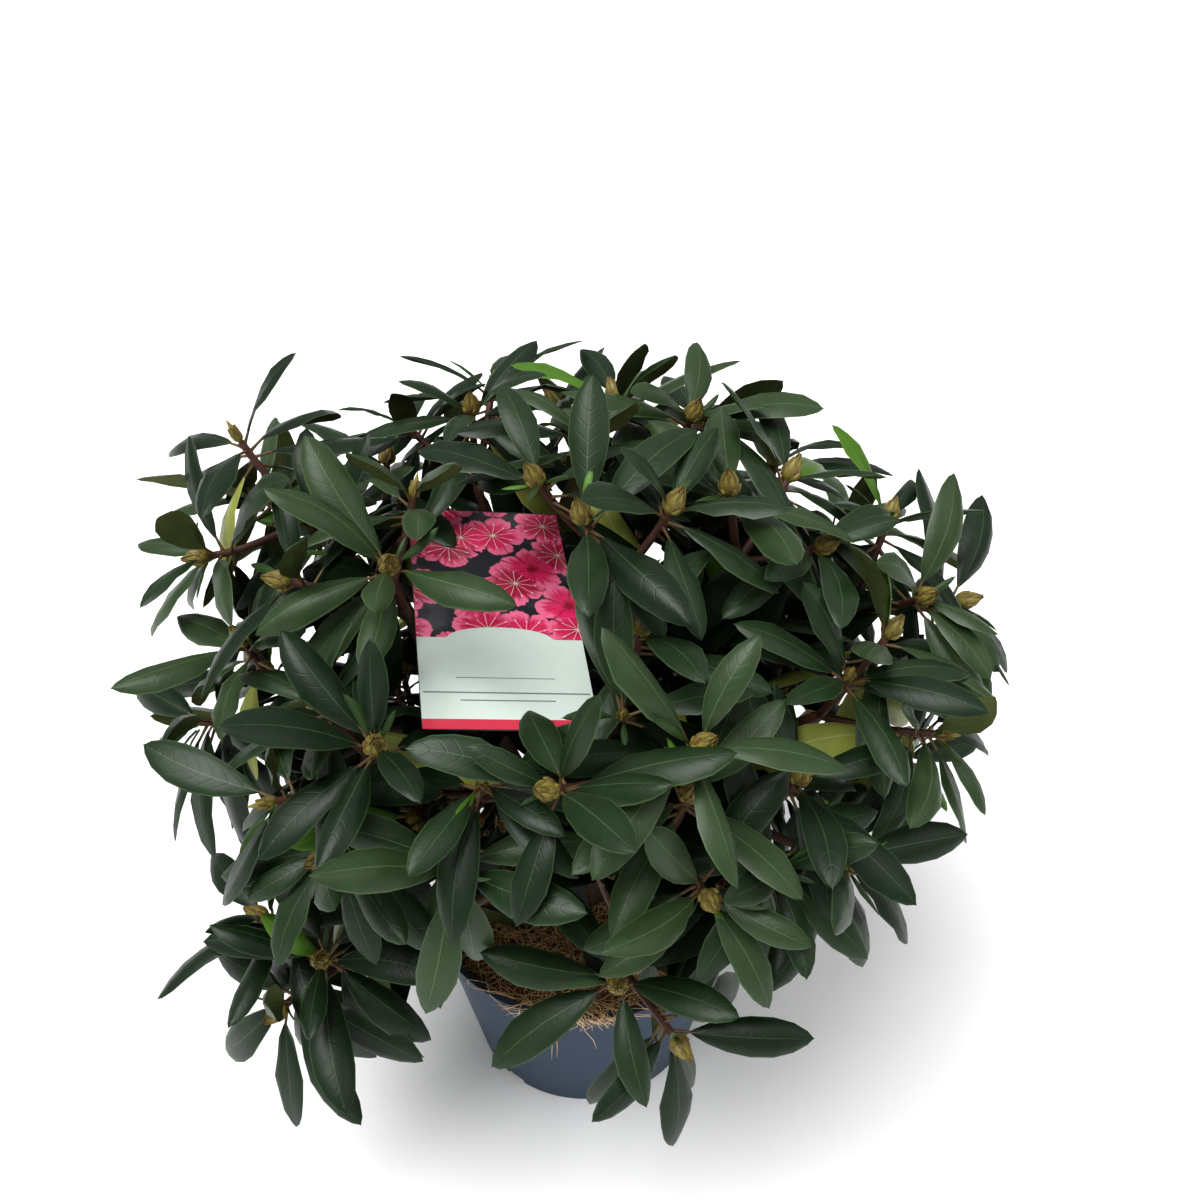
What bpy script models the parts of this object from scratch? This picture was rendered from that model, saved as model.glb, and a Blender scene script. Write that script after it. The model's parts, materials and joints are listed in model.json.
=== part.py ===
"""A potted rhododendron: pot, root ball, short trunk, boughs, limbs, masses of leaves and a plant label.

Metres, +Z up. The origin is the centre of the pot's underside, and the front of the plant is at -Y.
Angles in the tables are degrees; an azimuth is measured from +X, anticlockwise from above.
"""

import math
import random
from typing import NamedTuple

import bmesh
import bpy
from mathutils import Matrix, Vector
from mathutils.bvhtree import BVHTree

UP = Vector((0, 0, 1))
GAP = 0.0003  # clearance between neighbouring solids
GOLDEN_ANGLE = math.radians(137.5)
SMOOTH_ANGLE = math.radians(40)

# Pot and root ball.
POT_SIDES = 26
POT_HEIGHT = 0.165
RIM_RADIUS = 0.143
BASE_RADIUS = 0.106
POT_WALL = 0.0028
POT_FLOOR = 0.004
POT_FOOT_ROUND = 0.002
RIM_BAND = 0.007
RIM_LIP = 0.0022
RIM_ROUND = 0.001
DRAIN_NOTCHES = 7
NOTCH_WIDTH = 0.020
NOTCH_HEIGHT = 0.006
NOTCH_DEPTH = 0.008
SOIL_EDGE = 0.156
SOIL_TOP = 0.166
SOIL_FLAT = 0.028  # radius of the flat spot that the trunk stands on
SOIL_DOME = ((0.105, 0.161), (0.065, 0.164))  # (radius, height) between the edge and the flat spot
BALL_FOOT = 0.012  # height of the ball's rounded foot
BALL_FOOT_ROUND = 0.006

# Trunk, from its flat cut on the root ball to its fork.
TRUNK_SIDES = 10
TRUNK_FOOT = 0.0215
TRUNK_FLARE = 0.0165
TRUNK_WAIST = 0.0135
TRUNK_UPPER = 0.0125
TRUNK_FORK = 0.0115
FLARE_RISE = 0.010  # how far over the soil the flare has eased to TRUNK_FLARE
WAIST_RISE = 0.026
UPPER_RISE = 0.047
FORK_HEIGHT = 0.245
TRUNK_LEAN = Vector((0.004, -0.006, 0))

# Boughs and the limbs that leave them.
BOUGH_SIDES = 5
BOUGH_ROOT = 0.0068
BOUGH_TIP = 0.0042
LIMB_SIDES = 5
LIMB_ROOT = 0.0050
LIMB_TIP = 0.0038
LIMB_STEPS = 4
BOUGH_CLIMB = 0.85  # a bough's rise per metre outward where it leaves the trunk
LIMB_FOLLOW = 0.35  # how far a limb's root leans along its parent
FOLLOW_SPAN = 0.05

# Shoots: each mass has one stem, which forks into shoots that bend up to the light.
STEM_LENGTH = 0.022
STEM_RADIUS = 0.0043
STEM_TAPER = 0.95
STEM_SIDES = 3
STEM_OVERRUN = 0.003  # how far the stem runs on past its fork
SHOOT_SIDES = 4
SHOOT_ROOT = 0.0034
SHOOT_TIP = 0.0032
SHOOT_SINK = 0.002
LEAN_RANGE = (0.8, 1.2)  # shares of the mass's spread
SHOOT_RANGE = (0.85, 1.15)  # shares of the mass's shoot length
LIFT = 0.35
LEVEL_HEIGHT = 0.22  # a whorl this low faces straight out; the higher it is, the more it faces up
LIFT_SPAN = 0.25
TURN_JITTER = 0.25

# Leaves, in a whorl under the bud at each shoot's tip.
LEAVES = 7
LEAF_LENGTH = 0.106
LEAF_HALF_WIDTH = 0.142  # share of the length
LEAF_ROOT = 0.0010
LEAF_RIDGE = 0.0030
LEAF_STATION = (0.56, 1.04)  # the widest place: its share of the length, and of the half width
LENGTH_RANGE = (0.84, 1.16)
YOUNG_LENGTH = 0.86  # the youngest leaf's share of the full length
LENGTH_STEP = 0.02
BEND_RANGE = (0.25, 0.65)
FIRST_OPEN = 46.0
OPEN_STEP = 7.0
OPEN_JITTER = 5.0
FIRST_SAG = 0.08
SAG_STEP = 0.05
FIRST_SEAT = 0.0035
SEAT_STEP = 0.0021
LEAF_TURN_JITTER = 0.14
WHORL_AXIS = Vector((0.3, 1, 0.1))  # the direction that angles round a whorl start across
FACE_LIGHT = 0.6  # how much a leaf faces its whorl's way, and how much it faces up
LEAST_FACE = 0.2
WHORL_SEEDS = 100  # seeds kept for each whorl number
LEAF_TRIES = 9
SWING_STEP = 0.35
LEAF_MIDDLE = 0.55
NEAR_LEAF = 1.3 * LEAF_LENGTH
CLEAR = 0.0009  # room kept round a leaf
ROOM_STATIONS = ((0.16, 0.22), (0.30, 0.62), (0.50, 0.98), (0.70, 1.00), (0.87, 0.68))
CARD_CHECKS = (0.25, 0.375, 0.5, 0.625, 0.75, 0.875, 1.0)  # shares of a leaf kept off the label
SPACE_OVERLAP = 0.050
LOWEST_LEAF = 0.030

# Flower buds, each one the fat end of its shoot.
BUD_RADIUS = 0.0078
BUD_LENGTH = 0.0235
BUD_BELLY = 0.40  # share of the length at which the bud is widest

# Label: a plastic card that lies on the crown, on a stake.
CARD_WIDTH = 0.125
CARD_LENGTH = 0.250
CARD_THICK = 0.0012
CARD_FOOT = Vector((-0.047, -0.150, 0.487))
CARD_YAW = 98.8
CARD_SLOPE = 8.0
CARD_BEND = 10.0  # the slope eases by this much from foot to head
CARD_ROLL = -8.0
CARD_STEPS = 8
CARD_MARGIN = 0.018  # how far a leaf may reach over the card's edge
CARD_VIEW = Vector((0.06, -0.74, 0.67))  # the side that the card is read from
STAKE_WIDTH = 0.014
STAKE_THICK = 0.0030
STAKE_SINK = 0.030
STAKE_ASIDE = 0.018  # the stake joins the card this far right of its middle
STAKE_FOOT = Vector((0.016, -0.096, 0.130))  # pushed into the root ball


class Bough(NamedTuple):
    """A main bough: where it leaves the trunk, and the mass at its tip."""

    name: str
    height: float
    mass: str


class Mass(NamedTuple):
    """A mass of leaves: its limb's parent, where its stem starts and leans, and how its shoots fan out."""

    name: str
    parent: str
    leave: float  # share of the parent's length at which the limb leaves it; 1 is its tip
    azimuth: float
    reach: float
    height: float
    rise: float
    spread: float
    turn: float
    shoot: float
    shoots: int
    seed: int
    whorl: int  # seed of its leaves


BOUGHS = (
    Bough("bough_front_left", 0.196, "front_left"),
    Bough("bough_front_right", 0.190, "right_front"),
    Bough("bough_back", 0.193, "back_middle"),
    Bough("bough_left", 0.226, "left_upper"),
    Bough("bough_right", 0.215, "right_middle"),
    Bough("bough_back_left", 0.203, "back_left"),
    Bough("bough_top", 0.240, "top_right"),
)

MASSES = (
    Mass("left_inner", "bough_front_left", 0.62, -131, 0.194, 0.444, 41, 39, 141, 0.075, 3, 2, 22),
    Mass("front_left", "bough_front_left", 1, -112, 0.172, 0.439, 29, 38, 283, 0.074, 3, 6, 6),
    Mass("left_skirt", "bough_front_left", 0.34, -141, 0.230, 0.237, 38, 34, 283, 0.071, 3, 2, 1),
    Mass("right_front", "bough_front_right", 1, -53, 0.185, 0.404, 18, 36, 199, 0.074, 3, 4, 21),
    Mass("front_right", "bough_front_right", 0.66, -72, 0.181, 0.417, 29, 36, 99, 0.073, 2, 4, 8),
    Mass("front_skirt", "bough_front_right", 0.36, -81, 0.175, 0.288, 13, 32, 302, 0.070, 2, 6, 20),
    Mass("left_upper", "bough_left", 1, -161, 0.141, 0.520, 72, 63, 13, 0.069, 3, 4, 12),
    Mass("left_outer", "bough_left", 0.55, -167, 0.210, 0.414, 27, 42, 100, 0.078, 2, 4, 7),
    Mass("left_lower", "bough_left", 0.40, -129, 0.179, 0.417, 34, 42, 278, 0.078, 2, 3, 20),
    Mass("crown_left", "bough_left", 0.75, 173, 0.196, 0.549, 14, 41, 205, 0.075, 3, 2, 8),
    Mass("right_middle", "bough_right", 1, -30, 0.187, 0.447, 41, 43, 32, 0.079, 3, 4, 19),
    Mass("right_outer", "bough_right", 0.70, -1, 0.195, 0.478, 29, 42, 158, 0.078, 3, 6, 17),
    Mass("right_upper", "bough_right", 0.55, -17, 0.110, 0.535, 59, 40, 132, 0.077, 3, 3, 11),
    Mass("right_lower", "bough_right", 0.35, 2, 0.190, 0.350, 14, 42, 40, 0.076, 2, 3, 13),
    Mass("top_right", "bough_top", 1, 52, 0.082, 0.542, 60, 42, 147, 0.078, 3, 3, 17),
    Mass("top_middle", "bough_top", 0.80, -45, 0.025, 0.533, 115, 35, 158, 0.080, 2, 6, 10),
    Mass("top_front", "bough_top", 0.62, -72, 0.078, 0.548, 70, 34, 5, 0.072, 2, 4, 21),
    Mass("centre", "bough_top", 0.45, -78, 0.128, 0.472, 58, 34, 77, 0.075, 2, 4, 22),
    Mass("front_centre", "bough_top", 0.30, -82, 0.184, 0.476, 43, 41, 189, 0.077, 2, 6, 20),
    Mass("back_left", "bough_back_left", 1, 150, 0.185, 0.455, 38, 42, 20, 0.078, 3, 2, 5),
    Mass("top_left", "bough_back_left", 0.65, 124, 0.156, 0.505, 60, 39, 71, 0.079, 3, 6, 22),
    Mass("back_left_low", "bough_back_left", 0.38, 172, 0.205, 0.335, 18, 40, 60, 0.076, 2, 5, 24),
    Mass("back_middle", "bough_back", 1, 88, 0.175, 0.480, 42, 42, 50, 0.078, 3, 3, 9),
    Mass("back_right", "bough_back", 0.60, 42, 0.195, 0.440, 34, 42, 100, 0.078, 3, 1, 24),
    Mass("back_right_low", "bough_back", 0.34, 52, 0.200, 0.320, 14, 40, 10, 0.076, 3, 2, 20),
    Mass("back_low", "bough_back", 0.45, 118, 0.205, 0.335, 16, 42, 80, 0.078, 2, 4, 23),
)

POT_BLUE = (0.055, 0.070, 0.095)
COIR_BROWN = (0.165, 0.095, 0.045)
BARK_BROWN = (0.110, 0.060, 0.040)
LEAF_GREEN = (0.040, 0.075, 0.035)
LABEL_MINT = (0.700, 0.790, 0.710)


def clear_scene():
    """Removes every object, so that the script starts from nothing."""
    for old in list(bpy.data.objects):
        bpy.data.objects.remove(old)


def material(name, colour, roughness):
    """A Principled material with a plain colour."""
    made = bpy.data.materials.new(name)
    made.use_nodes = True
    shader = made.node_tree.nodes["Principled BSDF"]
    shader.inputs["Base Color"].default_value = (*colour, 1)
    shader.inputs["Roughness"].default_value = roughness
    shader.inputs["Metallic"].default_value = 0
    return made


def mesh_object(name, points, faces, finish=None):
    """An object, linked to the scene, from points and faces."""
    mesh = bpy.data.meshes.new(name)
    mesh.from_pydata(points, [], faces)
    mesh.validate()
    made = bpy.data.objects.new(name, mesh)
    bpy.context.scene.collection.objects.link(made)
    if finish:
        mesh.materials.append(finish)
    return made


def apply_boolean(target, operation, tool=None, group=None, solver="EXACT"):
    """Adds one Boolean to the target, with an object or a collection, and applies it."""
    modifier = target.modifiers.new(operation.title(), "BOOLEAN")
    modifier.operation = operation
    modifier.solver = solver
    if group:
        modifier.operand_type = "COLLECTION"
        modifier.collection = group
    else:
        modifier.object = tool
    with bpy.context.temp_override(object=target, active_object=target):
        bpy.ops.object.modifier_apply(modifier=modifier.name)


def smooth(made):
    """Shades a round piece smooth, with its corners kept sharp."""
    made.data.shade_smooth()
    made.data.set_sharp_from_angle(angle=SMOOTH_ANGLE)


def bridge(rings):
    """Points and faces of a closed solid through rings of equal count, with flat ends."""
    count = len(rings[0])
    points = [point for ring in rings for point in ring]
    faces = [tuple(reversed(range(count)))]
    for step in range(len(rings) - 1):
        low, high = step * count, (step + 1) * count
        for side in range(count):
            after = (side + 1) % count
            faces.append((low + side, low + after, high + after, high + side))
    last = (len(rings) - 1) * count
    faces.append(tuple(range(last, last + count)))
    return points, faces


def corners_round(middle, side, up):
    """The four corners of a flat bar's section."""
    return middle - side - up, middle + side - up, middle + side + up, middle - side + up


def frames_along(line):
    """A heading and two cross directions at each point of a line, with no twist between them."""
    headings = []
    for number, point in enumerate(line):
        before = line[max(0, number - 1)]
        after = line[min(len(line) - 1, number + 1)]
        headings.append((after - before).normalized())
    seed = Vector((1, 0, 0)) if abs(headings[0].x) < 0.8 else Vector((0, 1, 0))
    across = headings[0].cross(seed).normalized()
    frames = []
    for heading in headings:
        across = (across - heading * across.dot(heading)).normalized()
        frames.append((heading, across, heading.cross(across)))
    return frames


def tube(line, radii, sides, ends=None):
    """Points and faces of a tapering round limb along a line; ends may give its first and last heading."""
    rings = []
    frames = frames_along(line)
    if ends:
        for place, heading in zip((0, -1), ends):
            across = frames[place][1]
            across = (across - heading * across.dot(heading)).normalized()
            frames[place] = (heading, across, heading.cross(across))
    for point, radius, (_, across, over) in zip(line, radii, frames):
        ring = []
        for side in range(sides):
            turn = 2 * math.pi * side / sides
            ring.append(point + (across * math.cos(turn) + over * math.sin(turn)) * radius)
        rings.append(ring)
    return bridge(rings)


def turned(name, profile, sides, finish):
    """A turned solid from a closed profile of (radius, height); a radius of 0 makes a flat end."""
    rings = []
    for radius, height in profile:
        ring = []
        for side in range(sides):
            turn = 2 * math.pi * side / sides
            ring.append(Vector((radius * math.cos(turn), radius * math.sin(turn), height)))
        rings.append(ring)
    made = mesh_object(name, *bridge(rings), finish)
    smooth(made)
    return made


def wall_radius(height):
    """The outer radius of the pot's side at a height."""
    return BASE_RADIUS + (RIM_RADIUS - RIM_LIP - BASE_RADIUS) * height / POT_HEIGHT


def make_pot(finish):
    """The plastic pot: a thin tapered wall with a rim band, a flat floor, and notches round its foot."""
    band = POT_HEIGHT - RIM_BAND
    profile = (
        (BASE_RADIUS - POT_FOOT_ROUND, 0),
        (wall_radius(POT_FOOT_ROUND), POT_FOOT_ROUND),
        (wall_radius(band), band),
        (wall_radius(band) + RIM_LIP, band + RIM_ROUND),
        (RIM_RADIUS, POT_HEIGHT - RIM_ROUND),
        (RIM_RADIUS - RIM_ROUND, POT_HEIGHT),
        (wall_radius(POT_HEIGHT) - POT_WALL, POT_HEIGHT),
        (wall_radius(POT_FLOOR) - POT_WALL, POT_FLOOR),
    )
    pot = turned("pot", profile, POT_SIDES, finish)
    for number in range(DRAIN_NOTCHES):
        turn = 2 * math.pi * (number + 0.5) / DRAIN_NOTCHES
        corners = []
        for x in (BASE_RADIUS - NOTCH_DEPTH, BASE_RADIUS + NOTCH_DEPTH):
            for y in (-NOTCH_WIDTH / 2, NOTCH_WIDTH / 2):
                for z in (-NOTCH_HEIGHT, NOTCH_HEIGHT):
                    corners.append(Matrix.Rotation(turn, 3, "Z") @ Vector((x, y, z)))
        sides = ((0, 1, 3, 2), (4, 6, 7, 5), (0, 4, 5, 1), (2, 3, 7, 6), (0, 2, 6, 4), (1, 5, 7, 3))
        cutter = mesh_object("notch", corners, sides)
        apply_boolean(pot, "DIFFERENCE", cutter)
        bpy.data.objects.remove(cutter)
    return pot


def make_root_ball(card, finish):
    """The root ball: it fills the pot, domes up to the trunk's flat spot, and has a slot for the stake."""
    inside = POT_WALL + GAP
    profile = (
        (wall_radius(POT_FLOOR) - inside - BALL_FOOT_ROUND, POT_FLOOR + GAP),
        (wall_radius(BALL_FOOT) - inside, BALL_FOOT),
        (wall_radius(SOIL_EDGE) - inside, SOIL_EDGE),
        *SOIL_DOME,
        (SOIL_FLAT, SOIL_TOP),
    )
    root_ball = turned("root_ball", profile, POT_SIDES, finish)
    cutter = mesh_object("slot", *card.stake(GAP))
    apply_boolean(root_ball, "DIFFERENCE", cutter)
    bpy.data.objects.remove(cutter)
    return root_ball


def point_on_trunk(height):
    """The trunk's axis at a height."""
    foot = SOIL_TOP + GAP
    return TRUNK_LEAN * ((height - foot) / (FORK_HEIGHT - foot)) + UP * height


def trunk_line():
    """The trunk's line and radii, from its flat cut to its fork."""
    foot = SOIL_TOP + GAP
    heights = (foot, foot + FLARE_RISE, foot + WAIST_RISE, foot + UPPER_RISE, FORK_HEIGHT)
    radii = [TRUNK_FOOT, TRUNK_FLARE, TRUNK_WAIST, TRUNK_UPPER, TRUNK_FORK]
    return [point_on_trunk(height) for height in heights], radii


def hub_of(mass):
    """Where a mass's stem starts, and the stem's heading."""
    azimuth = math.radians(mass.azimuth)
    rise = math.radians(mass.rise)
    radial = Vector((math.cos(azimuth), math.sin(azimuth), 0))
    heading = radial * math.cos(rise) + UP * math.sin(rise)
    return radial * mass.reach + UP * mass.height, heading


def curve_between(start, leave, end, arrive, steps):
    """Points of a smooth curve from start to end, with its headings there; pulled by a third of the span."""
    pull = (end - start).length / 3
    first = start + leave * pull
    second = end - arrive * pull
    line = []
    for step in range(steps + 1):
        t = step / steps
        s = 1 - t
        line.append(start * s**3 + first * 3 * s * s * t + second * 3 * s * t * t + end * t**3)
    return line


def tapered(first, last, count):
    """Radii that taper evenly."""
    return [first + (last - first) * number / (count - 1) for number in range(count)]


def at_share(values, share):
    """The value a share of the way along a list of points or radii."""
    place = min(share, 0.999) * (len(values) - 1)
    low = int(place)
    return values[low] + (values[low + 1] - values[low]) * (place - low)


def limb_routes():
    """Each bough's and limb's (line, radii, sides, parent's name, end headings), from the two tables."""
    hubs = {mass.name: hub_of(mass) for mass in MASSES}
    routes = {}
    for bough in BOUGHS:
        end, arrive = hubs[bough.mass]
        start = point_on_trunk(bough.height)
        flat = Vector((end.x - start.x, end.y - start.y, 0)).normalized()
        leave = (flat + UP * BOUGH_CLIMB).normalized()
        line = curve_between(start, leave, end, arrive, LIMB_STEPS + 1)
        radii = tapered(BOUGH_ROOT, BOUGH_TIP, len(line))
        routes[bough.name] = (line, radii, BOUGH_SIDES, "trunk", (leave, arrive))
    for mass in MASSES:
        if mass.leave == 1:
            continue
        end, arrive = hubs[mass.name]
        parent = routes[mass.parent][0]
        start = at_share(parent, mass.leave)
        along = (at_share(parent, mass.leave + FOLLOW_SPAN) - start).normalized()
        leave = ((end - start).normalized() + along * LIMB_FOLLOW).normalized()
        line = curve_between(start, leave, end, arrive, LIMB_STEPS)
        radii = tapered(LIMB_ROOT, LIMB_TIP, len(line))
        routes["limb_" + mass.name] = (line, radii, LIMB_SIDES, mass.parent, (leave, arrive))
    return routes


def make_wood(finish):
    """The trunk, boughs and limbs; each one's root is cut to fit round its parent, a gap away."""
    line, radii = trunk_line()
    upright = (UP, UP)
    trunk = mesh_object("trunk", *tube(line, radii, TRUNK_SIDES, upright), finish)
    smooth(trunk)
    routes = limb_routes()
    routes["trunk"] = (line, radii, TRUNK_SIDES, None, upright)
    made = [trunk]
    for name, (line, radii, sides, parent, ends) in routes.items():
        if parent is None:
            continue
        limb = mesh_object(name, *tube(line, radii, sides, ends), finish)
        line, radii, sides, _, ends = routes[parent]
        room = GAP / math.cos(math.pi / sides)
        wider = [radius + room for radius in radii]
        longer = [line[0] - ends[0] * GAP, *line[1:-1], line[-1] + ends[1] * GAP]
        cutter = mesh_object("cutter", *tube(longer, wider, sides, ends))
        apply_boolean(limb, "DIFFERENCE", cutter)
        bpy.data.objects.remove(cutter)
        keep_main_body(limb)
        smooth(limb)
        made.append(limb)
    return made


def keep_main_body(made):
    """Drops the loose scraps of a solid and fills its sealed hollows: all but its largest body goes."""
    shape = bmesh.new()
    shape.from_mesh(made.data)
    shape.faces.ensure_lookup_table()
    unseen = set(shape.faces)
    bodies = []
    while unseen:
        body = []
        stack = [unseen.pop()]
        while stack:
            face = stack.pop()
            body.append(face)
            for edge in face.edges:
                for other in edge.link_faces:
                    if other in unseen:
                        unseen.remove(other)
                        stack.append(other)
        bodies.append(body)
    bodies.sort(key=lambda body: sum(face.calc_area() for face in body))
    scraps = [face for body in bodies[:-1] for face in body]
    bmesh.ops.delete(shape, geom=scraps, context="FACES")
    shape.to_mesh(made.data)
    shape.free()


class Leaf(NamedTuple):
    """A leaf: its root, heading, face direction, length, half width and the angle that it bends down by."""

    root: Vector
    heading: Vector
    face: Vector
    length: float
    half: float
    bend: float

    def at(self, share):
        """The midrib's point and the leaf's face direction a share of the way along."""
        turn = self.bend * share
        radius = self.length / self.bend
        along = self.heading * math.sin(turn) - self.face * (1 - math.cos(turn))
        face = self.face * math.cos(turn) + self.heading * math.sin(turn)
        return self.root + along * radius, face

    def solid(self, stations, ridge, extra=0.0):
        """Points and faces of the leaf: a ridged blade through (share, half width) stations to its tip."""
        side = self.heading.cross(self.face)
        rings = []
        for share, width in stations:
            point, face = self.at(share)
            half = width * self.half + extra
            thick = min(ridge / 2, half) + extra
            low = point - face * thick
            rings.append((low - side * half, low + side * half, point + face * thick))
        points, faces = bridge(rings)
        last = len(points)
        tip, _ = self.at(1 + extra / self.length)
        points.append(tip)
        faces.pop()
        for first, after in ((3, 2), (2, 1), (1, 3)):
            faces.append((last - first, last - after, last))
        return points, faces


class Shoot:
    """A shoot of a mass: its line, its tip and heading, and its own random numbers."""

    def __init__(self, mass, number, line, heading):
        self.mass = mass
        self.line = line
        self.tip = line[-1]
        self.heading = heading
        self.rng = random.Random(mass.whorl * WHORL_SEEDS + number)
        self.start = self.rng.uniform(0, 2 * math.pi)
        self.across = heading.cross(WHORL_AXIS).normalized()
        self.over = heading.cross(self.across)

    def leaf(self, number, swing):
        """The leaf of this number in the whorl, swung aside by a try's angle."""
        rng = self.rng
        turn = self.start + GOLDEN_ANGLE * number + rng.uniform(-LEAF_TURN_JITTER, LEAF_TURN_JITTER) + swing
        opened = math.radians(FIRST_OPEN + OPEN_STEP * number + rng.uniform(-OPEN_JITTER, OPEN_JITTER))
        length = LEAF_LENGTH * rng.uniform(*LENGTH_RANGE) * (YOUNG_LENGTH + LENGTH_STEP * number)
        bend = rng.uniform(*BEND_RANGE)
        radial = self.across * math.cos(turn) + self.over * math.sin(turn)
        heading = self.heading * math.cos(opened) + radial * math.sin(opened)
        heading = (heading - UP * (FIRST_SAG + SAG_STEP * number)).normalized()
        light = (self.heading + UP) * FACE_LIGHT
        face = light - heading * light.dot(heading)
        if face.length < LEAST_FACE:
            face = -radial + heading * radial.dot(heading)
        root = self.tip - self.heading * (FIRST_SEAT + SEAT_STEP * number)
        return Leaf(root, heading, face.normalized(), length, length * LEAF_HALF_WIDTH, bend)


def grow_stem(mass):
    """A mass's stem: its line, from a gap beyond its limb's tip to just past its fork, and its heading."""
    hub, axis = hub_of(mass)
    return [hub + axis * GAP, hub + axis * (STEM_LENGTH + STEM_OVERRUN)], axis


def grow_shoots(mass):
    """A mass's shoots, which fan out from its fork by its seeded rule."""
    rng = random.Random(mass.seed)
    hub, axis = hub_of(mass)
    fork = hub + axis * STEM_LENGTH
    azimuth = math.radians(mass.azimuth)
    side = Vector((-math.sin(azimuth), math.cos(azimuth), 0))
    over = axis.cross(side)
    if over.z < 0:
        over = -over
    whorl_lift = LIFT * max(0, (mass.height - LEVEL_HEIGHT) / LIFT_SPAN)
    shoots = []
    for number in range(mass.shoots):
        turn = math.radians(mass.turn) + 2 * math.pi * number / mass.shoots
        turn += rng.uniform(-TURN_JITTER, TURN_JITTER)
        lean = math.radians(mass.spread) * rng.uniform(*LEAN_RANGE)
        length = mass.shoot * rng.uniform(*SHOOT_RANGE)
        outward = side * math.cos(turn) + over * math.sin(turn)
        heading = axis * math.cos(lean) + outward * math.sin(lean)
        lifted = (heading + UP * LIFT).normalized()
        middle = fork + heading * length / 2
        line = [fork - heading * SHOOT_SINK, middle, middle + lifted * length / 2]
        shoots.append(Shoot(mass, number, line, (heading + UP * whorl_lift).normalized()))
    return shoots


def tree_of(points, faces):
    """A search tree of a solid's faces."""
    return BVHTree.FromPolygons(points, faces)


class Crown:
    """Grows every mass's leaves in turns, keeping each leaf in its own space and clear of the rest."""

    def __init__(self, solids, card):
        self.fixed = [tree_of(points, faces) for points, faces in solids]
        self.card = card
        self.stems = {}
        self.hearts = {}
        self.shoots = {mass.name: [] for mass in MASSES}
        self.woods = {}
        self.leaves = {mass.name: [] for mass in MASSES}
        self.placed = []
        own = {}
        for mass in MASSES:
            stem = grow_stem(mass)
            self.stems[mass.name] = stem
            own[mass.name] = tree_of(*stem_solid(stem))
        for mass in MASSES:
            others = [tree for name, tree in own.items() if name != mass.name]
            for shoot in grow_shoots(mass):
                wood = tree_of(*shoot_solid(shoot))
                if any(wood.overlap(other) for other in self.fixed + others):
                    continue
                if any(wood.overlap(other) for one, other in self.woods.items() if one.mass is not mass):
                    continue
                self.shoots[mass.name].append(shoot)
                self.woods[shoot] = wood
            tips = [shoot.tip for shoot in self.shoots[mass.name]]
            self.hearts[mass.name] = sum(tips, Vector()) / len(tips)
        self.fixed += own.values()

    def in_space(self, mass, point):
        """Whether a point is in a mass's own space, and over the least height."""
        own = (point - self.hearts[mass.name]).length
        nearest = min((point - heart).length for heart in self.hearts.values())
        return own < nearest + SPACE_OVERLAP and point.z > LOWEST_LEAF

    def fits(self, shoot, leaf):
        """The leaf's room as a search tree where it is free, or None."""
        middle, _ = leaf.at(LEAF_MIDDLE)
        tip, _ = leaf.at(1)
        if not self.in_space(shoot.mass, tip) or not self.in_space(shoot.mass, middle):
            return None
        if any(self.card.hidden_by(leaf.at(share)[0]) for share in CARD_CHECKS):
            return None
        room = tree_of(*leaf.solid(ROOM_STATIONS, LEAF_RIDGE, CLEAR))
        for other, place in self.placed:
            if (place - middle).length < NEAR_LEAF and room.overlap(other):
                return None
        if any(room.overlap(other) for other in self.fixed):
            return None
        if any(room.overlap(wood) for owner, wood in self.woods.items() if owner is not shoot):
            return None
        return room

    def grow(self):
        """Places the leaves, one of each shoot at a time."""
        for number in range(LEAVES):
            for mass in MASSES:
                for shoot in self.shoots[mass.name]:
                    self.place(shoot, number)

    def place(self, shoot, number):
        """Tries one leaf at a few angles, and keeps the first that fits."""
        for attempt in range(LEAF_TRIES):
            swing = SWING_STEP * ((attempt + 1) // 2) * (-1) ** attempt
            leaf = shoot.leaf(number, swing)
            room = self.fits(shoot, leaf)
            if room:
                self.placed.append((room, leaf.at(LEAF_MIDDLE)[0]))
                self.leaves[shoot.mass.name].append(leaf)
                return


def stem_solid(stem):
    """A mass's stem: a three-sided twig."""
    line, axis = stem
    return tube(line, [STEM_RADIUS, STEM_RADIUS * STEM_TAPER], STEM_SIDES, (axis, axis))


def shoot_solid(shoot):
    """A shoot and the fat flower bud that it ends in."""
    belly = shoot.tip + shoot.heading * BUD_LENGTH * BUD_BELLY
    radii = tapered(SHOOT_ROOT, SHOOT_TIP, len(shoot.line)) + [BUD_RADIUS]
    points, faces = tube([*shoot.line, belly], radii, SHOOT_SIDES)
    faces.pop()
    last = len(points)
    points.append(shoot.tip + shoot.heading * BUD_LENGTH)
    for side in range(SHOOT_SIDES):
        after = (side + 1) % SHOOT_SIDES
        faces.append((last - SHOOT_SIDES + side, last - SHOOT_SIDES + after, last))
    return points, faces


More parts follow.
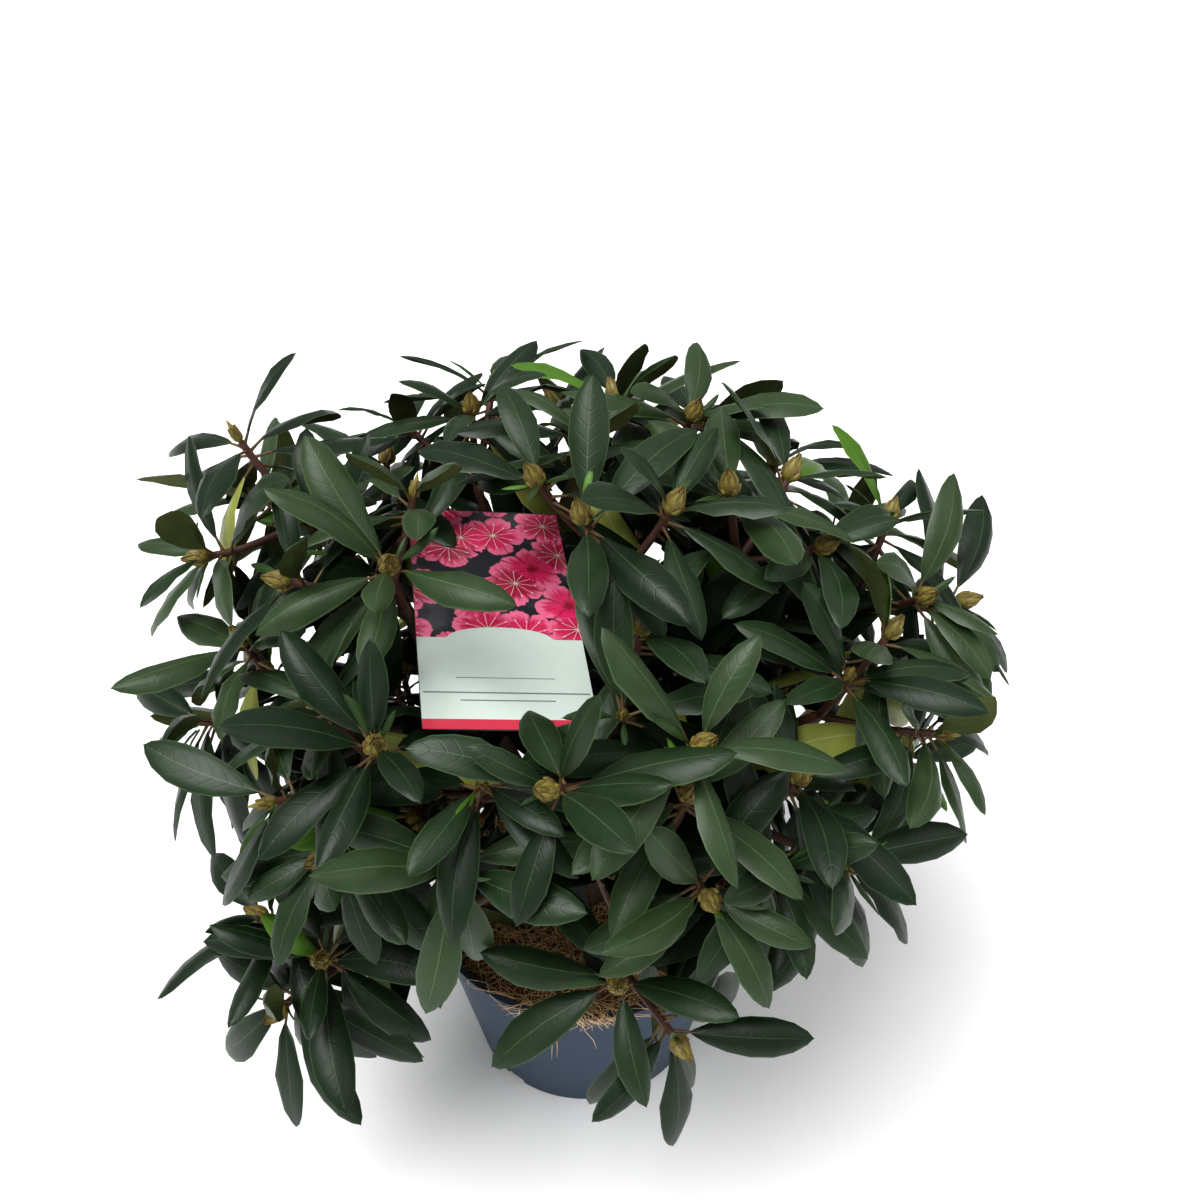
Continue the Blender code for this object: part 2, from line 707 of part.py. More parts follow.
def make_mass(mass, crown, finish):
    """One mass of leaves: its stem, shoots, buds and leaves, joined into one solid by one union."""
    group = bpy.data.collections.new(mass.name + "_pieces")
    bpy.context.scene.collection.children.link(group)
    solids = [shoot_solid(shoot) for shoot in crown.shoots[mass.name]]
    for leaf in crown.leaves[mass.name]:
        solids.append(leaf.solid(((0, LEAF_ROOT / leaf.half), LEAF_STATION), LEAF_RIDGE))
    pieces = []
    for points, faces in solids:
        piece = mesh_object("piece", points, faces)
        bpy.context.scene.collection.objects.unlink(piece)
        group.objects.link(piece)
        pieces.append(piece)
    foliage = mesh_object("leaves_" + mass.name, *stem_solid(crown.stems[mass.name]), finish)
    apply_boolean(foliage, "UNION", group=group)
    for piece in pieces:
        bpy.data.objects.remove(piece)
    bpy.data.collections.remove(group)
    keep_main_body(foliage)
    return foliage


class Card:
    """The label's card: a thin plate that eases from its slope at the foot to a lower one at the head."""

    def __init__(self):
        yaw = math.radians(CARD_YAW)
        self.along = Vector((math.cos(yaw), math.sin(yaw), 0))
        across = self.along.cross(UP)
        roll = math.radians(CARD_ROLL)
        self.across = (across * math.cos(roll) + UP * math.sin(roll)).normalized()
        self.line = [CARD_FOOT.copy()]
        for step in range(CARD_STEPS):
            slope = math.radians(CARD_SLOPE + CARD_BEND * (0.5 - (step + 0.5) / CARD_STEPS))
            move = self.along * math.cos(slope) + UP * math.sin(slope)
            self.line.append(self.line[-1] + move * CARD_LENGTH / CARD_STEPS)

    def face(self, number):
        """The card's upward direction at a station."""
        low = max(0, number - 1)
        high = min(CARD_STEPS, number + 1)
        heading = (self.line[high] - self.line[low]).normalized()
        return self.across.cross(heading).normalized()

    def solid(self):
        """Points and faces of the card."""
        rings = []
        for number, point in enumerate(self.line):
            up = self.face(number) * CARD_THICK / 2
            side = self.across * CARD_WIDTH / 2
            rings.append(corners_round(point, side, up))
        return bridge(rings)

    def stake(self, room=0.0):
        """Points and faces of the stake, from inside the card's foot into the root ball; room widens it."""
        top = CARD_FOOT + (self.line[1] - self.line[0]).normalized() * STAKE_SINK
        top += self.across * STAKE_ASIDE
        foot = STAKE_FOOT - UP * room
        side = Vector((STAKE_WIDTH / 2 + room, 0, 0))
        thick = Vector((0, STAKE_THICK / 2 + room, 0))
        return bridge([corners_round(foot, side, thick), corners_round(top, side, thick)])

    def hidden_by(self, point):
        """Whether a point stands before the card, as seen from the front and above."""
        up = self.face(CARD_STEPS // 2)
        rise = (point - self.line[CARD_STEPS // 2]).dot(up)
        if rise < 0:
            return False
        seat = point - CARD_VIEW * (rise / CARD_VIEW.dot(up)) - self.line[0]
        ahead = seat.dot(self.along) / math.cos(math.radians(CARD_SLOPE))
        aside = abs(seat.dot(self.across))
        inside = CARD_MARGIN < ahead < CARD_LENGTH - CARD_MARGIN
        return inside and aside < CARD_WIDTH / 2 - CARD_MARGIN


def make_label(card, finish):
    """The label: card and stake, as one plastic piece."""
    label = mesh_object("plant_label", *card.solid(), finish)
    stake = mesh_object("stake", *card.stake())
    apply_boolean(label, "UNION", stake)
    bpy.data.objects.remove(stake)
    keep_main_body(label)
    return label


def faces_of(made):
    """An object's points and faces."""
    points = [vertex.co.copy() for vertex in made.data.vertices]
    return points, [tuple(face.vertices) for face in made.data.polygons]


def main():
    """Builds the pot, the root ball, the wood, the label and the masses of leaves."""
    clear_scene()
    bark = material("bark", BARK_BROWN, 0.8)
    green = material("leaf", LEAF_GREEN, 0.45)
    pot = make_pot(material("pot_plastic", POT_BLUE, 0.4))
    card = Card()
    root_ball = make_root_ball(card, material("coir", COIR_BROWN, 0.95))
    wood = make_wood(bark)
    label = make_label(card, material("label_plastic", LABEL_MINT, 0.35))
    crown = Crown([faces_of(made) for made in (pot, root_ball, label, *wood)], card)
    crown.grow()
    for mass in MASSES:
        make_mass(mass, crown, green)


main()
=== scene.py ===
"""Looks of a potted rhododendron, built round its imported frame.

Metres, +Z up. The pot's underside is centred on the origin, and the front of the plant is at -Y.
"""

import json
import logging
import math
import random
from collections.abc import Callable, Iterator, Sequence
from contextlib import contextmanager
from dataclasses import dataclass
from enum import Enum

import bmesh
import bpy
import numpy as np
from mathutils import Matrix, Vector, noise
from mathutils.bvhtree import BVHTree

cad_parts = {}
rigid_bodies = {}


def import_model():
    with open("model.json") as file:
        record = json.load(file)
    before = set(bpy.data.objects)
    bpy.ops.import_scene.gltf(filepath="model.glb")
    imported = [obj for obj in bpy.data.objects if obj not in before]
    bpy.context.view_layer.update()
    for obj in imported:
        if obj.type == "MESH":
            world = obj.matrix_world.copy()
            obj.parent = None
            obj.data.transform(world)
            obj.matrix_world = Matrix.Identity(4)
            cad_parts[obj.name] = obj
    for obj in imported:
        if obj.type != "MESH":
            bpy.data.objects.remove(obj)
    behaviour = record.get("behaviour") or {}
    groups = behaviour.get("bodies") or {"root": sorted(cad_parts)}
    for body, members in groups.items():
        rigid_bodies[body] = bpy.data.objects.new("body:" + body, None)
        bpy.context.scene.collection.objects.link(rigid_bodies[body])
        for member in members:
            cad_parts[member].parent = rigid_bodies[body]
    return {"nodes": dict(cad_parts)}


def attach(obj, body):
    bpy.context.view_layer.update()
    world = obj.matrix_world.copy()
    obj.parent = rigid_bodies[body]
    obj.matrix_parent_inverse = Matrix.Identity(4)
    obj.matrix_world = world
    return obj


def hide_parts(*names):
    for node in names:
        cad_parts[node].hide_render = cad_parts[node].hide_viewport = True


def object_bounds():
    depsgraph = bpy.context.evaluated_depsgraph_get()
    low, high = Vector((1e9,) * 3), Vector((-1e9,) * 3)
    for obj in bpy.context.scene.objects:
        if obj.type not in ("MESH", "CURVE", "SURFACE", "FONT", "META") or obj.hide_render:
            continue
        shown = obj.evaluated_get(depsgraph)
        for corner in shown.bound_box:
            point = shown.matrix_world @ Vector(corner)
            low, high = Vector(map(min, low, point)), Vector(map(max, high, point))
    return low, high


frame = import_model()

log = logging.getLogger("rhododendron")

CAD_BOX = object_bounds()
BODY = "root"
UP = Vector((0, 0, 1))
GOLDEN_ANGLE = math.radians(137.5)
PATTERN_MAP = "blade"
BAKE_MAP = "OFBake"
PRINT_MAP = "print"

Triple = tuple[float, float, float]
Colour = Triple
Span = tuple[float, float]
Surface = tuple[list, list]
Socket = bpy.types.NodeSocket
Tree = bpy.types.NodeTree
Piece = bpy.types.Object


# Wiring of materials.


class Graph:
    """A node tree that is being wired."""

    def __init__(self, tree: Tree) -> None:
        """Keeps the tree that nodes are added to."""
        self.tree = tree

    def add(self, kind: str, **settings: object) -> bpy.types.Node:
        """Adds a node.

        Args:
            kind: The node's type name, without its ShaderNode prefix.
            **settings: Properties to set on it.

        Returns:
            The new node.
        """
        node = self.tree.nodes.new("ShaderNode" + kind)
        for name, value in settings.items():
            setattr(node, name, value)
        return node

    def feed(self, socket: Socket, value: object) -> None:
        """Links a socket to an output, or sets it to a plain value.

        Args:
            socket: The input socket.
            value: An output socket, a number, a vector or a colour.
        """
        if isinstance(value, Socket):
            self.tree.links.new(value, socket)
        elif isinstance(value, tuple) and socket.type == "RGBA":
            socket.default_value = (*value, 1)
        else:
            socket.default_value = value

    def math(self, operation: str, *values: object) -> Socket:
        """Adds a Math node.

        Args:
            operation: Its operation.
            *values: Sockets or numbers, in the order of its inputs.

        Returns:
            Its output.
        """
        node = self.add("Math", operation=operation)
        for socket, value in zip(node.inputs, values):
            self.feed(socket, value)
        return node.outputs[0]

    def ramp(self, value: object, low: float, high: float, start: float = 0, end: float = 1) -> Socket:
        """Maps a value smoothly from one range to another.

        Args:
            value: The value.
            low: Where the source range starts.
            high: Where the source range ends.
            start: What low becomes.
            end: What high becomes.

        Returns:
            The mapped value.
        """
        node = self.add("MapRange", interpolation_type="SMOOTHSTEP")
        for socket, given in zip(node.inputs, (value, low, high, start, end)):
            self.feed(socket, given)
        return node.outputs[0]

    def mix(self, share: object, first: object, second: object) -> Socket:
        """Mixes two colours.

        Args:
            share: How much of the second one shows.
            first: The first colour.
            second: The second colour.

        Returns:
            The mixed colour.
        """
        node = self.add("Mix", data_type="RGBA")
        self.feed(node.inputs[0], share)
        self.feed(node.inputs[6], first)
        self.feed(node.inputs[7], second)
        return node.outputs[2]

    def noise(self, vector: object, scale: object, detail: float = 3) -> Socket:
        """Adds a Noise texture.

        Args:
            vector: Where it is read.
            scale: Its scale.
            detail: Its detail.

        Returns:
            Its value, around a half.
        """
        node = self.add("TexNoise")
        self.feed(node.inputs["Vector"], vector)
        self.feed(node.inputs["Scale"], scale)
        node.inputs["Detail"].default_value = detail
        return node.outputs[0]

    def tint(self, colour: object, value: object) -> Socket:
        """Lightens or darkens a colour.

        Args:
            colour: The colour.
            value: What its lightness is multiplied by.

        Returns:
            The new colour.
        """
        node = self.add("HueSaturation")
        self.feed(node.inputs["Color"], colour)
        self.feed(node.inputs["Value"], value)
        return node.outputs[0]

    def split(self, vector: object) -> Sequence[Socket]:
        """Takes a vector apart.

        Args:
            vector: The vector.

        Returns:
            Its three parts.
        """
        node = self.add("SeparateXYZ")
        self.feed(node.inputs[0], vector)
        return node.outputs


class Effect(Graph):
    """A node group that several materials use."""

    def __init__(self, name: str, inputs: str, outputs: str) -> None:
        """Starts the group.

        Args:
            name: The group's name.
            inputs: Its inputs, each as Name:Kind; a kind is Float, Color or Vector.
            outputs: Its outputs, in the same way.
        """
        super().__init__(bpy.data.node_groups.new(name, "ShaderNodeTree"))
        for sockets, side in ((inputs, "INPUT"), (outputs, "OUTPUT")):
            for title, kind in (socket.split(":") for socket in sockets.split()):
                self.tree.interface.new_socket(title, in_out=side, socket_type="NodeSocket" + kind)
        self.given = self.tree.nodes.new("NodeGroupInput").outputs
        self.made = self.tree.nodes.new("NodeGroupOutput").inputs


def grain_effect() -> Tree:
    """Builds the fine grain that bark, coir, buds and plastic share.

    Returns:
        A group that varies a colour over the surface and gives a height and a mask.
    """
    graph = Effect(
        "fine_grain",
        "Vector:Vector Color:Color Scale:Float Contrast:Float",
        "Color:Color Height:Float Mask:Float",
    )
    given = graph.given
    fine = graph.noise(given["Vector"], given["Scale"], 5)
    broad = graph.noise(given["Vector"], graph.math("MULTIPLY", given["Scale"], 0.17), 2)
    both = graph.math("ADD", graph.math("MULTIPLY", fine, 0.6), graph.math("MULTIPLY", broad, 0.4))
    swing = graph.math("MULTIPLY", graph.math("SUBTRACT", both, 0.5), given["Contrast"])
    graph.feed(graph.made["Color"], graph.tint(given["Color"], graph.math("ADD", swing, 1)))
    graph.feed(graph.made["Height"], fine)
    graph.feed(graph.made["Mask"], graph.ramp(both, 0.42, 0.62))
    return graph.tree


def blade_effect() -> Tree:
    """Builds the surface of a leaf: midrib, side veins, a pale margin that is partly a painted highlight,
    and a slight mottle.

    Returns:
        A group that reads the leaf's own map, with the midrib along its middle.
    """
    graph = Effect(
        "leaf_blade",
        "Map:Vector Place:Vector Color:Color Rib:Color Veins:Float",
        "Color:Color Height:Float Gloss:Float",
    )
    given = graph.given
    across, along, _ = graph.split(given["Map"])
    aside = graph.math("MULTIPLY", graph.math("ABSOLUTE", graph.math("SUBTRACT", across, 0.5)), 2)
    rib_width = graph.math("MULTIPLY_ADD", along, -0.042, 0.062)
    rib = graph.ramp(graph.math("DIVIDE", aside, rib_width), 1.0, 0.3)
    slant = graph.math("MULTIPLY", graph.math("POWER", aside, 1.4), 1.5)
    phase = graph.math("FRACT", graph.math("SUBTRACT", graph.math("MULTIPLY", along, 10), slant))
    vein = graph.ramp(graph.math("ABSOLUTE", graph.math("SUBTRACT", phase, 0.5)), 0.10, 0.0)
    vein = graph.math("MULTIPLY", vein, graph.ramp(aside, 0.92, 0.35))
    vein = graph.math("MULTIPLY", vein, given["Veins"])
    # Pale margin: partly the leaf's own thin pale rim, partly a painted highlight where the rolled-under
    # edge catches light.
    margin = graph.ramp(aside, 0.91, 0.98)
    mottle = graph.noise(given["Place"], 55, 3)
    shown = graph.tint(given["Color"], graph.math("MULTIPLY_ADD", mottle, 0.5, 0.75))
    shown = graph.mix(graph.math("MULTIPLY", vein, 0.16), shown, given["Rib"])
    shown = graph.mix(graph.math("MULTIPLY", margin, 0.8), shown, given["Rib"])
    shown = graph.mix(rib, shown, given["Rib"])
    graph.feed(graph.made["Color"], shown)
    pores = graph.noise(given["Place"], 300, 3)
    leather = graph.math("MULTIPLY_ADD", pores, 0.22, graph.math("MULTIPLY", mottle, 0.5))
    graph.feed(graph.made["Height"], graph.math("MULTIPLY_ADD", vein, -0.5, leather))
    graph.feed(graph.made["Gloss"], mottle)
    return graph.tree


def dust_effect() -> Tree:
    """Builds the handling marks of the plastic pieces: pale dust and faint scuffs.

    Returns:
        A group that lightens a colour where dust lies and gives how dull the surface is.
    """
    graph = Effect(
        "dust_and_scuffs", "Vector:Vector Color:Color Dust:Color Amount:Float", "Color:Color Dull:Float"
    )
    given = graph.given
    stretch = graph.add("Mapping")
    graph.feed(stretch.inputs["Vector"], given["Vector"])
    stretch.inputs["Scale"].default_value = (1, 1, 0.18)
    streaks = graph.noise(stretch.outputs[0], 46, 6)
    clouds = graph.noise(given["Vector"], 17, 3)
    film = graph.ramp(graph.math("MULTIPLY", streaks, clouds), 0.20, 0.40)
    film = graph.math("MULTIPLY", film, given["Amount"])
    graph.feed(graph.made["Color"], graph.mix(film, given["Color"], given["Dust"]))
    graph.feed(graph.made["Dull"], film)
    return graph.tree


def blossom_effect() -> Tree:
    """Builds a print of ruffled blossoms, each with five lobes, a deep throat and pale stamens.

    Returns:
        A group that reads the print's own map and gives the print's colour.
    """
    graph = Effect(
        "printed_blossoms",
        "Map:Vector Scale:Float Petal:Color Edge:Color Throat:Color Ground:Color",
        "Color:Color",
    )
    given = graph.given
    ruffle = graph.math("SUBTRACT", graph.noise(given["Map"], 34, 4), 0.5)
    cells = graph.add("TexVoronoi", voronoi_dimensions="2D")
    graph.feed(cells.inputs["Vector"], given["Map"])
    graph.feed(cells.inputs["Scale"], given["Scale"])
    cells.inputs["Randomness"].default_value = 0.8
    apart = graph.add("VectorMath", operation="SUBTRACT")
    graph.feed(apart.inputs[0], given["Map"])
    graph.feed(apart.inputs[1], cells.outputs["Position"])
    right, up, _ = graph.split(apart.outputs[0])
    chance = graph.add("SeparateColor")
    graph.feed(chance.inputs[0], cells.outputs["Color"])
    turn = graph.math("ADD", graph.math("ARCTAN2", up, right), chance.outputs[0])
    reach = graph.math("ADD", cells.outputs["Distance"], graph.math("MULTIPLY", ruffle, 0.16))
    lobe = graph.math("ABSOLUTE", graph.math("COSINE", graph.math("MULTIPLY", turn, 2.5)))
    edge = graph.math("MULTIPLY_ADD", graph.math("POWER", lobe, 0.6), 0.22, 0.44)
    share = graph.math("DIVIDE", reach, edge)
    polar = graph.add("CombineXYZ")
    graph.feed(polar.inputs[0], graph.math("MULTIPLY", turn, 3.0))
    graph.feed(polar.inputs[1], graph.math("MULTIPLY", reach, 1.4))
    graph.feed(polar.inputs[2], graph.math("MULTIPLY", chance.outputs[1], 20))
    streak = graph.noise(polar.outputs[0], 2.6, 4)
    glow = graph.math("ADD", graph.ramp(share, 0.35, 1.0), graph.math("MULTIPLY_ADD", streak, 1.6, -0.95))
    petal = graph.mix(graph.math("MULTIPLY", chance.outputs[1], 0.7), given["Petal"], given["Throat"])
    tone = graph.mix(graph.ramp(glow, 0.1, 0.9), petal, given["Edge"])
    seam = graph.math("MULTIPLY", graph.ramp(lobe, 0.30, 0.0), 0.75)
    crease = graph.math("MAXIMUM", seam, graph.ramp(streak, 0.42, 0.28))
    deep = graph.math("MAXIMUM", graph.ramp(share, 0.34, 0.05), crease)
    tone = graph.mix(deep, tone, given["Throat"])
    spoke = graph.math("SUBTRACT", graph.math("FRACT", graph.math("MULTIPLY", turn, 1.75)), 0.5)
    ray = graph.math("ABSOLUTE", spoke)
    thread = graph.ramp(graph.math("MULTIPLY", ray, reach), 0.014, 0.006)
    thread = graph.math("MULTIPLY", thread, graph.ramp(share, 0.66, 0.60))
    knob = graph.ramp(graph.math("MULTIPLY", ray, reach), 0.030, 0.022)
    ring = graph.math("ABSOLUTE", graph.math("SUBTRACT", share, 0.64))
    knob = graph.math("MULTIPLY", knob, graph.ramp(ring, 0.05, 0.03))
    stamen = graph.math("MAXIMUM", thread, knob)
    stamen = graph.math("MULTIPLY", stamen, graph.ramp(chance.outputs[2], 0.30, 0.32))
    tone = graph.mix(graph.math("MULTIPLY", stamen, 0.85), tone, (0.90, 0.74, 0.66))
    graph.feed(graph.made["Color"], graph.mix(graph.ramp(share, 1.0, 1.04), tone, given["Ground"]))
    return graph.tree


class Skin(Graph):
    """A material that is being wired: a Principled shader read at Object coordinates."""

    def __init__(self, name: str) -> None:
        """Starts the material.

        Args:
            name: Its name.
        """
        self.material = bpy.data.materials.new(name)
        self.material.use_nodes = True
        super().__init__(self.material.node_tree)
        self.inputs = self.tree.nodes["Principled BSDF"].inputs
        self.place = self.add("TexCoord").outputs["Object"]

    def own_map(self, name: str) -> Socket:
        """Reads one of the piece's own maps, by name."""
        return self.add("UVMap", uv_map=name).outputs[0]

    def group(self, tree: Tree, **values: object) -> dict[str, Socket]:
        """Places an effect.

        Args:
            tree: The effect's node group.
            **values: Its inputs, by name.

        Returns:
            Its outputs, by name.
        """
        node = self.add("Group", node_tree=tree)
        for name, value in values.items():
            self.feed(node.inputs[name], value)
        return node.outputs

    def relief(self, height: Socket, depth: float) -> None:
        """Bumps the surface.

        Args:
            height: The height socket.
            depth: The relief's depth in metres.
        """
        bump = self.add("Bump")
        bump.inputs["Distance"].default_value = depth
        self.feed(bump.inputs["Height"], height)
        self.feed(self.inputs["Normal"], bump.outputs[0])


@dataclass(frozen=True)
class Finish:
    """What every finish shares."""

    name: str

    def build(self, effects: "Effects") -> bpy.types.Material:
        """Builds the material.

        Args:
            effects: The shared effects.

        Returns:
            The material.
        """
        skin = Skin(self.name)
        self.wire(skin, effects)
        return skin.material

    def wire(self, skin: Skin, effects: "Effects") -> None:
        """Wires the finish's own look."""
        raise NotImplementedError


@dataclass(frozen=True)
class GrainFinish(Finish):
    """A matt natural surface: bark, coir, bud scales."""

    colour: Colour
    scale: float
    contrast: float
    roughness: float
    depth: float

    def wire(self, skin: Skin, effects: "Effects") -> None:
        """Wires the grain's colour and relief.

        Args:
            skin: The new material.
            effects: The shared effects.
        """
        grain = skin.group(
            effects.grain, Vector=skin.place, Color=self.colour, Scale=self.scale, Contrast=self.contrast
        )
        skin.feed(skin.inputs["Base Color"], grain["Color"])
        skin.feed(skin.inputs["Roughness"], self.roughness)
        skin.relief(grain["Height"], self.depth)


@dataclass(frozen=True)
class PlasticFinish(Finish):
    """Moulded or printed plastic, with dust and scuffs."""

    colour: Colour
    dust: Colour
    amount: float
    roughness: float
    gloss: float = 0.4
    grain: float = 900.0
    contrast: float = 0.12
    depth: float = 0.00004
    dulling: float = 0.4

    def wire(self, skin: Skin, effects: "Effects") -> None:
        """Wires the dust over the moulded grain.

        Args:
            skin: The new material.
            effects: The shared effects.
        """
        place = skin.place
        worn = skin.group(effects.dust, Vector=place, Color=self.colour, Dust=self.dust, Amount=self.amount)
        grain = skin.group(
            effects.grain, Vector=place, Color=worn["Color"], Scale=self.grain, Contrast=self.contrast
        )
        skin.feed(skin.inputs["Base Color"], grain["Color"])
        skin.feed(skin.inputs["Specular IOR Level"], self.gloss)
        rough = skin.math("MULTIPLY_ADD", worn["Dull"], self.dulling, self.roughness)
        skin.feed(skin.inputs["Roughness"], rough)
        skin.relief(grain["Height"], self.depth)


@dataclass(frozen=True)
class BladeFinish(Finish):
    """One face of a leaf."""

    colour: Colour
    rib: Colour
    veins: float
    roughness: float
    gloss: float
    swing: float = 0.2
    depth: float = 0.0005

    def wire(self, skin: Skin, effects: "Effects") -> None:
        """Wires the blade on the leaf's own map.

        Args:
            skin: The new material.
            effects: The shared effects.
        """
        own = skin.own_map(PATTERN_MAP)
        blade = skin.group(
            effects.blade, Map=own, Place=skin.place, Color=self.colour, Rib=self.rib, Veins=self.veins
        )
        skin.feed(skin.inputs["Base Color"], blade["Color"])
        skin.feed(skin.inputs["Specular IOR Level"], self.gloss)
        smooth = self.roughness - self.swing / 2
        skin.feed(skin.inputs["Roughness"], skin.math("MULTIPLY_ADD", blade["Gloss"], self.swing, smooth))
        skin.relief(blade["Height"], self.depth)


@dataclass(frozen=True)
class BlossomFinish(Finish):
    """A glossy print of blossoms."""

    petal: Colour
    edge: Colour
    throat: Colour
    ground: Colour
    scale: float = 3.1
    dust: Colour = (0.55, 0.50, 0.52)
    amount: float = 0.12
    roughness: float = 0.28
    dulling: float = 0.4

    def wire(self, skin: Skin, effects: "Effects") -> None:
        """Wires the blossoms under a little dust.

        Args:
            skin: The new material.
            effects: The shared effects.
        """
        colours = {"Petal": self.petal, "Edge": self.edge, "Throat": self.throat, "Ground": self.ground}
        print_map = skin.own_map(PRINT_MAP)
        blossoms = skin.group(effects.blossoms, Map=print_map, Scale=self.scale, **colours)
        worn = skin.group(
            effects.dust, Vector=skin.place, Color=blossoms["Color"], Dust=self.dust, Amount=self.amount
        )
        skin.feed(skin.inputs["Base Color"], worn["Color"])
        rough = skin.math("MULTIPLY_ADD", worn["Dull"], self.dulling, self.roughness)
        skin.feed(skin.inputs["Roughness"], rough)


@dataclass(frozen=True)
class FloorFinish(Finish):
    """The studio floor: matt, pale and all but plain."""

    light: Colour = (0.94, 0.94, 0.94)
    dark: Colour = (0.92, 0.92, 0.92)
    scale: float = 2.0
    roughness: float = 0.8

    def wire(self, skin: Skin, effects: "Effects") -> None:
        """Wires the cloud.

        Args:
            skin: The new material.
            effects: The shared effects, which a floor doesn't need.
        """
        cloud = skin.noise(skin.place, self.scale, 2)
        skin.feed(skin.inputs["Base Color"], skin.mix(cloud, self.light, self.dark))
        skin.feed(skin.inputs["Roughness"], self.roughness)


class Effects:
    """The shader groups that the finishes share, each built once."""

    def __init__(self) -> None:
        """Builds the groups."""
        self.grain = grain_effect()
        self.blade = blade_effect()
        self.dust = dust_effect()
        self.blossoms = blossom_effect()


class Tone(Enum):
    """A leaf's tone: the colours of its upper face, its underside and its midrib."""

    # SHADE is painted shade: a darker copy of the leaf colours, dealt to leaves that lie covered inside the
    # crown.
    SHADE = ("shade", (0.0054, 0.0135, 0.0048), (0.040, 0.052, 0.020), (0.014, 0.028, 0.011))
    DEEP = ("deep", (0.0080, 0.0205, 0.0074), (0.090, 0.112, 0.042), (0.040, 0.072, 0.030))
    MID = ("mid", (0.0150, 0.0340, 0.0122), (0.110, 0.134, 0.050), (0.056, 0.096, 0.040))
    SOFT = ("soft", (0.0310, 0.0570, 0.0215), (0.130, 0.154, 0.060), (0.080, 0.124, 0.055))
    FRESH = ("fresh", (0.0260, 0.0560, 0.0150), (0.110, 0.160, 0.050), (0.074, 0.120, 0.040))
    YOUNG = ("young", (0.0700, 0.1650, 0.0120), (0.110, 0.200, 0.030), (0.150, 0.240, 0.060))
    YELLOW = ("yellow", (0.2700, 0.3000, 0.0700), (0.300, 0.320, 0.100), (0.380, 0.390, 0.180))

    def __init__(self, title: str, upper: Colour, under: Colour, rib: Colour) -> None:
        """Names the tone's colours.

        Args:
            title: The tone's name.
            upper: The upper face's colour.
            under: The underside's.
            rib: The midrib's.
        """
        self.title = title
        self.upper = upper
        self.under = under
        self.rib = rib


# Modelling with Blender's own tools.


def take(piece: Piece) -> None:
    """Selects one object alone and makes it the active one.

    Args:
        piece: The object.
    """
    bpy.ops.object.select_all(action="DESELECT")
    bpy.context.view_layer.objects.active = piece
    piece.select_set(True)


def add_primitive(operator: Callable, name: str, **sizes: object) -> Piece:
    """Adds a primitive.

    Args:
        operator: The bpy.ops.mesh operator.
        name: The new object's name.
        **sizes: The operator's settings.

    Returns:
        The new object, selected alone.
    """
    bpy.ops.object.select_all(action="DESELECT")
    operator(**sizes)
    made = bpy.context.active_object
    made.name = name
    made.data.name = name
    return made


@contextmanager
def edit_mode(piece: Piece) -> Iterator[None]:
    """Edits one object's mesh, with nothing selected at first.

    Args:
        piece: The object.
    """
    take(piece)
    bpy.ops.object.mode_set(mode="EDIT")
    bpy.ops.mesh.select_all(action="DESELECT")
    yield
    bpy.ops.object.mode_set(mode="OBJECT")


def pick(piece: Piece, kind: str, test: Callable) -> None:
    """Selects what passes a test, and nothing else, in edit mode.

    Args:
        piece: The object in edit mode.
        kind: VERT, EDGE or FACE.
        test: What says whether a vertex, edge or face is wanted.
    """
    bpy.ops.mesh.select_mode(type=kind)
    bpy.ops.mesh.select_all(action="DESELECT")
    shape = bmesh.from_edit_mesh(piece.data)
    for item in {"VERT": shape.verts, "EDGE": shape.edges, "FACE": shape.faces}[kind]:
        item.select_set(bool(test(item)))
    shape.select_flush_mode()
    bmesh.update_edit_mesh(piece.data)


def apply_modifier(piece: Piece, kind: str, **settings: object) -> None:
    """Adds a modifier and applies it.

    Args:
        piece: The object.
        kind: The modifier's type.
        **settings: Its properties.
    """
    take(piece)
    modifier = piece.modifiers.new(kind.title(), kind)
    for name, value in settings.items():
        setattr(modifier, name, value)
    bpy.ops.object.modifier_apply(modifier=modifier.name)


def settle(piece: Piece, angle: float = 40) -> Piece:
    """Applies an object's place and shades it smooth up to an angle.

    Args:
        piece: The object.
        angle: The least angle of a sharp edge, in degrees.

    Returns:
        The same object.
    """
    take(piece)
    bpy.ops.object.transform_apply(location=True, rotation=True, scale=True)
    piece.data.shade_smooth()
    piece.data.set_sharp_from_angle(angle=math.radians(angle))
    return piece


def dress(piece: Piece, slot: str, nodes: Sequence[str], *finishes: bpy.types.Material) -> None:
    """Gives a piece its finishes and its body, and hides the CAD nodes that it stands for.

    Args:
        piece: The piece.
        slot: The record's material slot; not used.
        nodes: The CAD nodes that it replaces.
        *finishes: Its materials, in the order of its slots.
    """
    for finish in finishes:
        piece.data.materials.append(finish)
    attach(piece, BODY)
    if nodes:
        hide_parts(*nodes)
    triangles = sum(len(face.vertices) - 2 for face in piece.data.polygons)
    log.info("%s: %d triangles", piece.name, triangles)


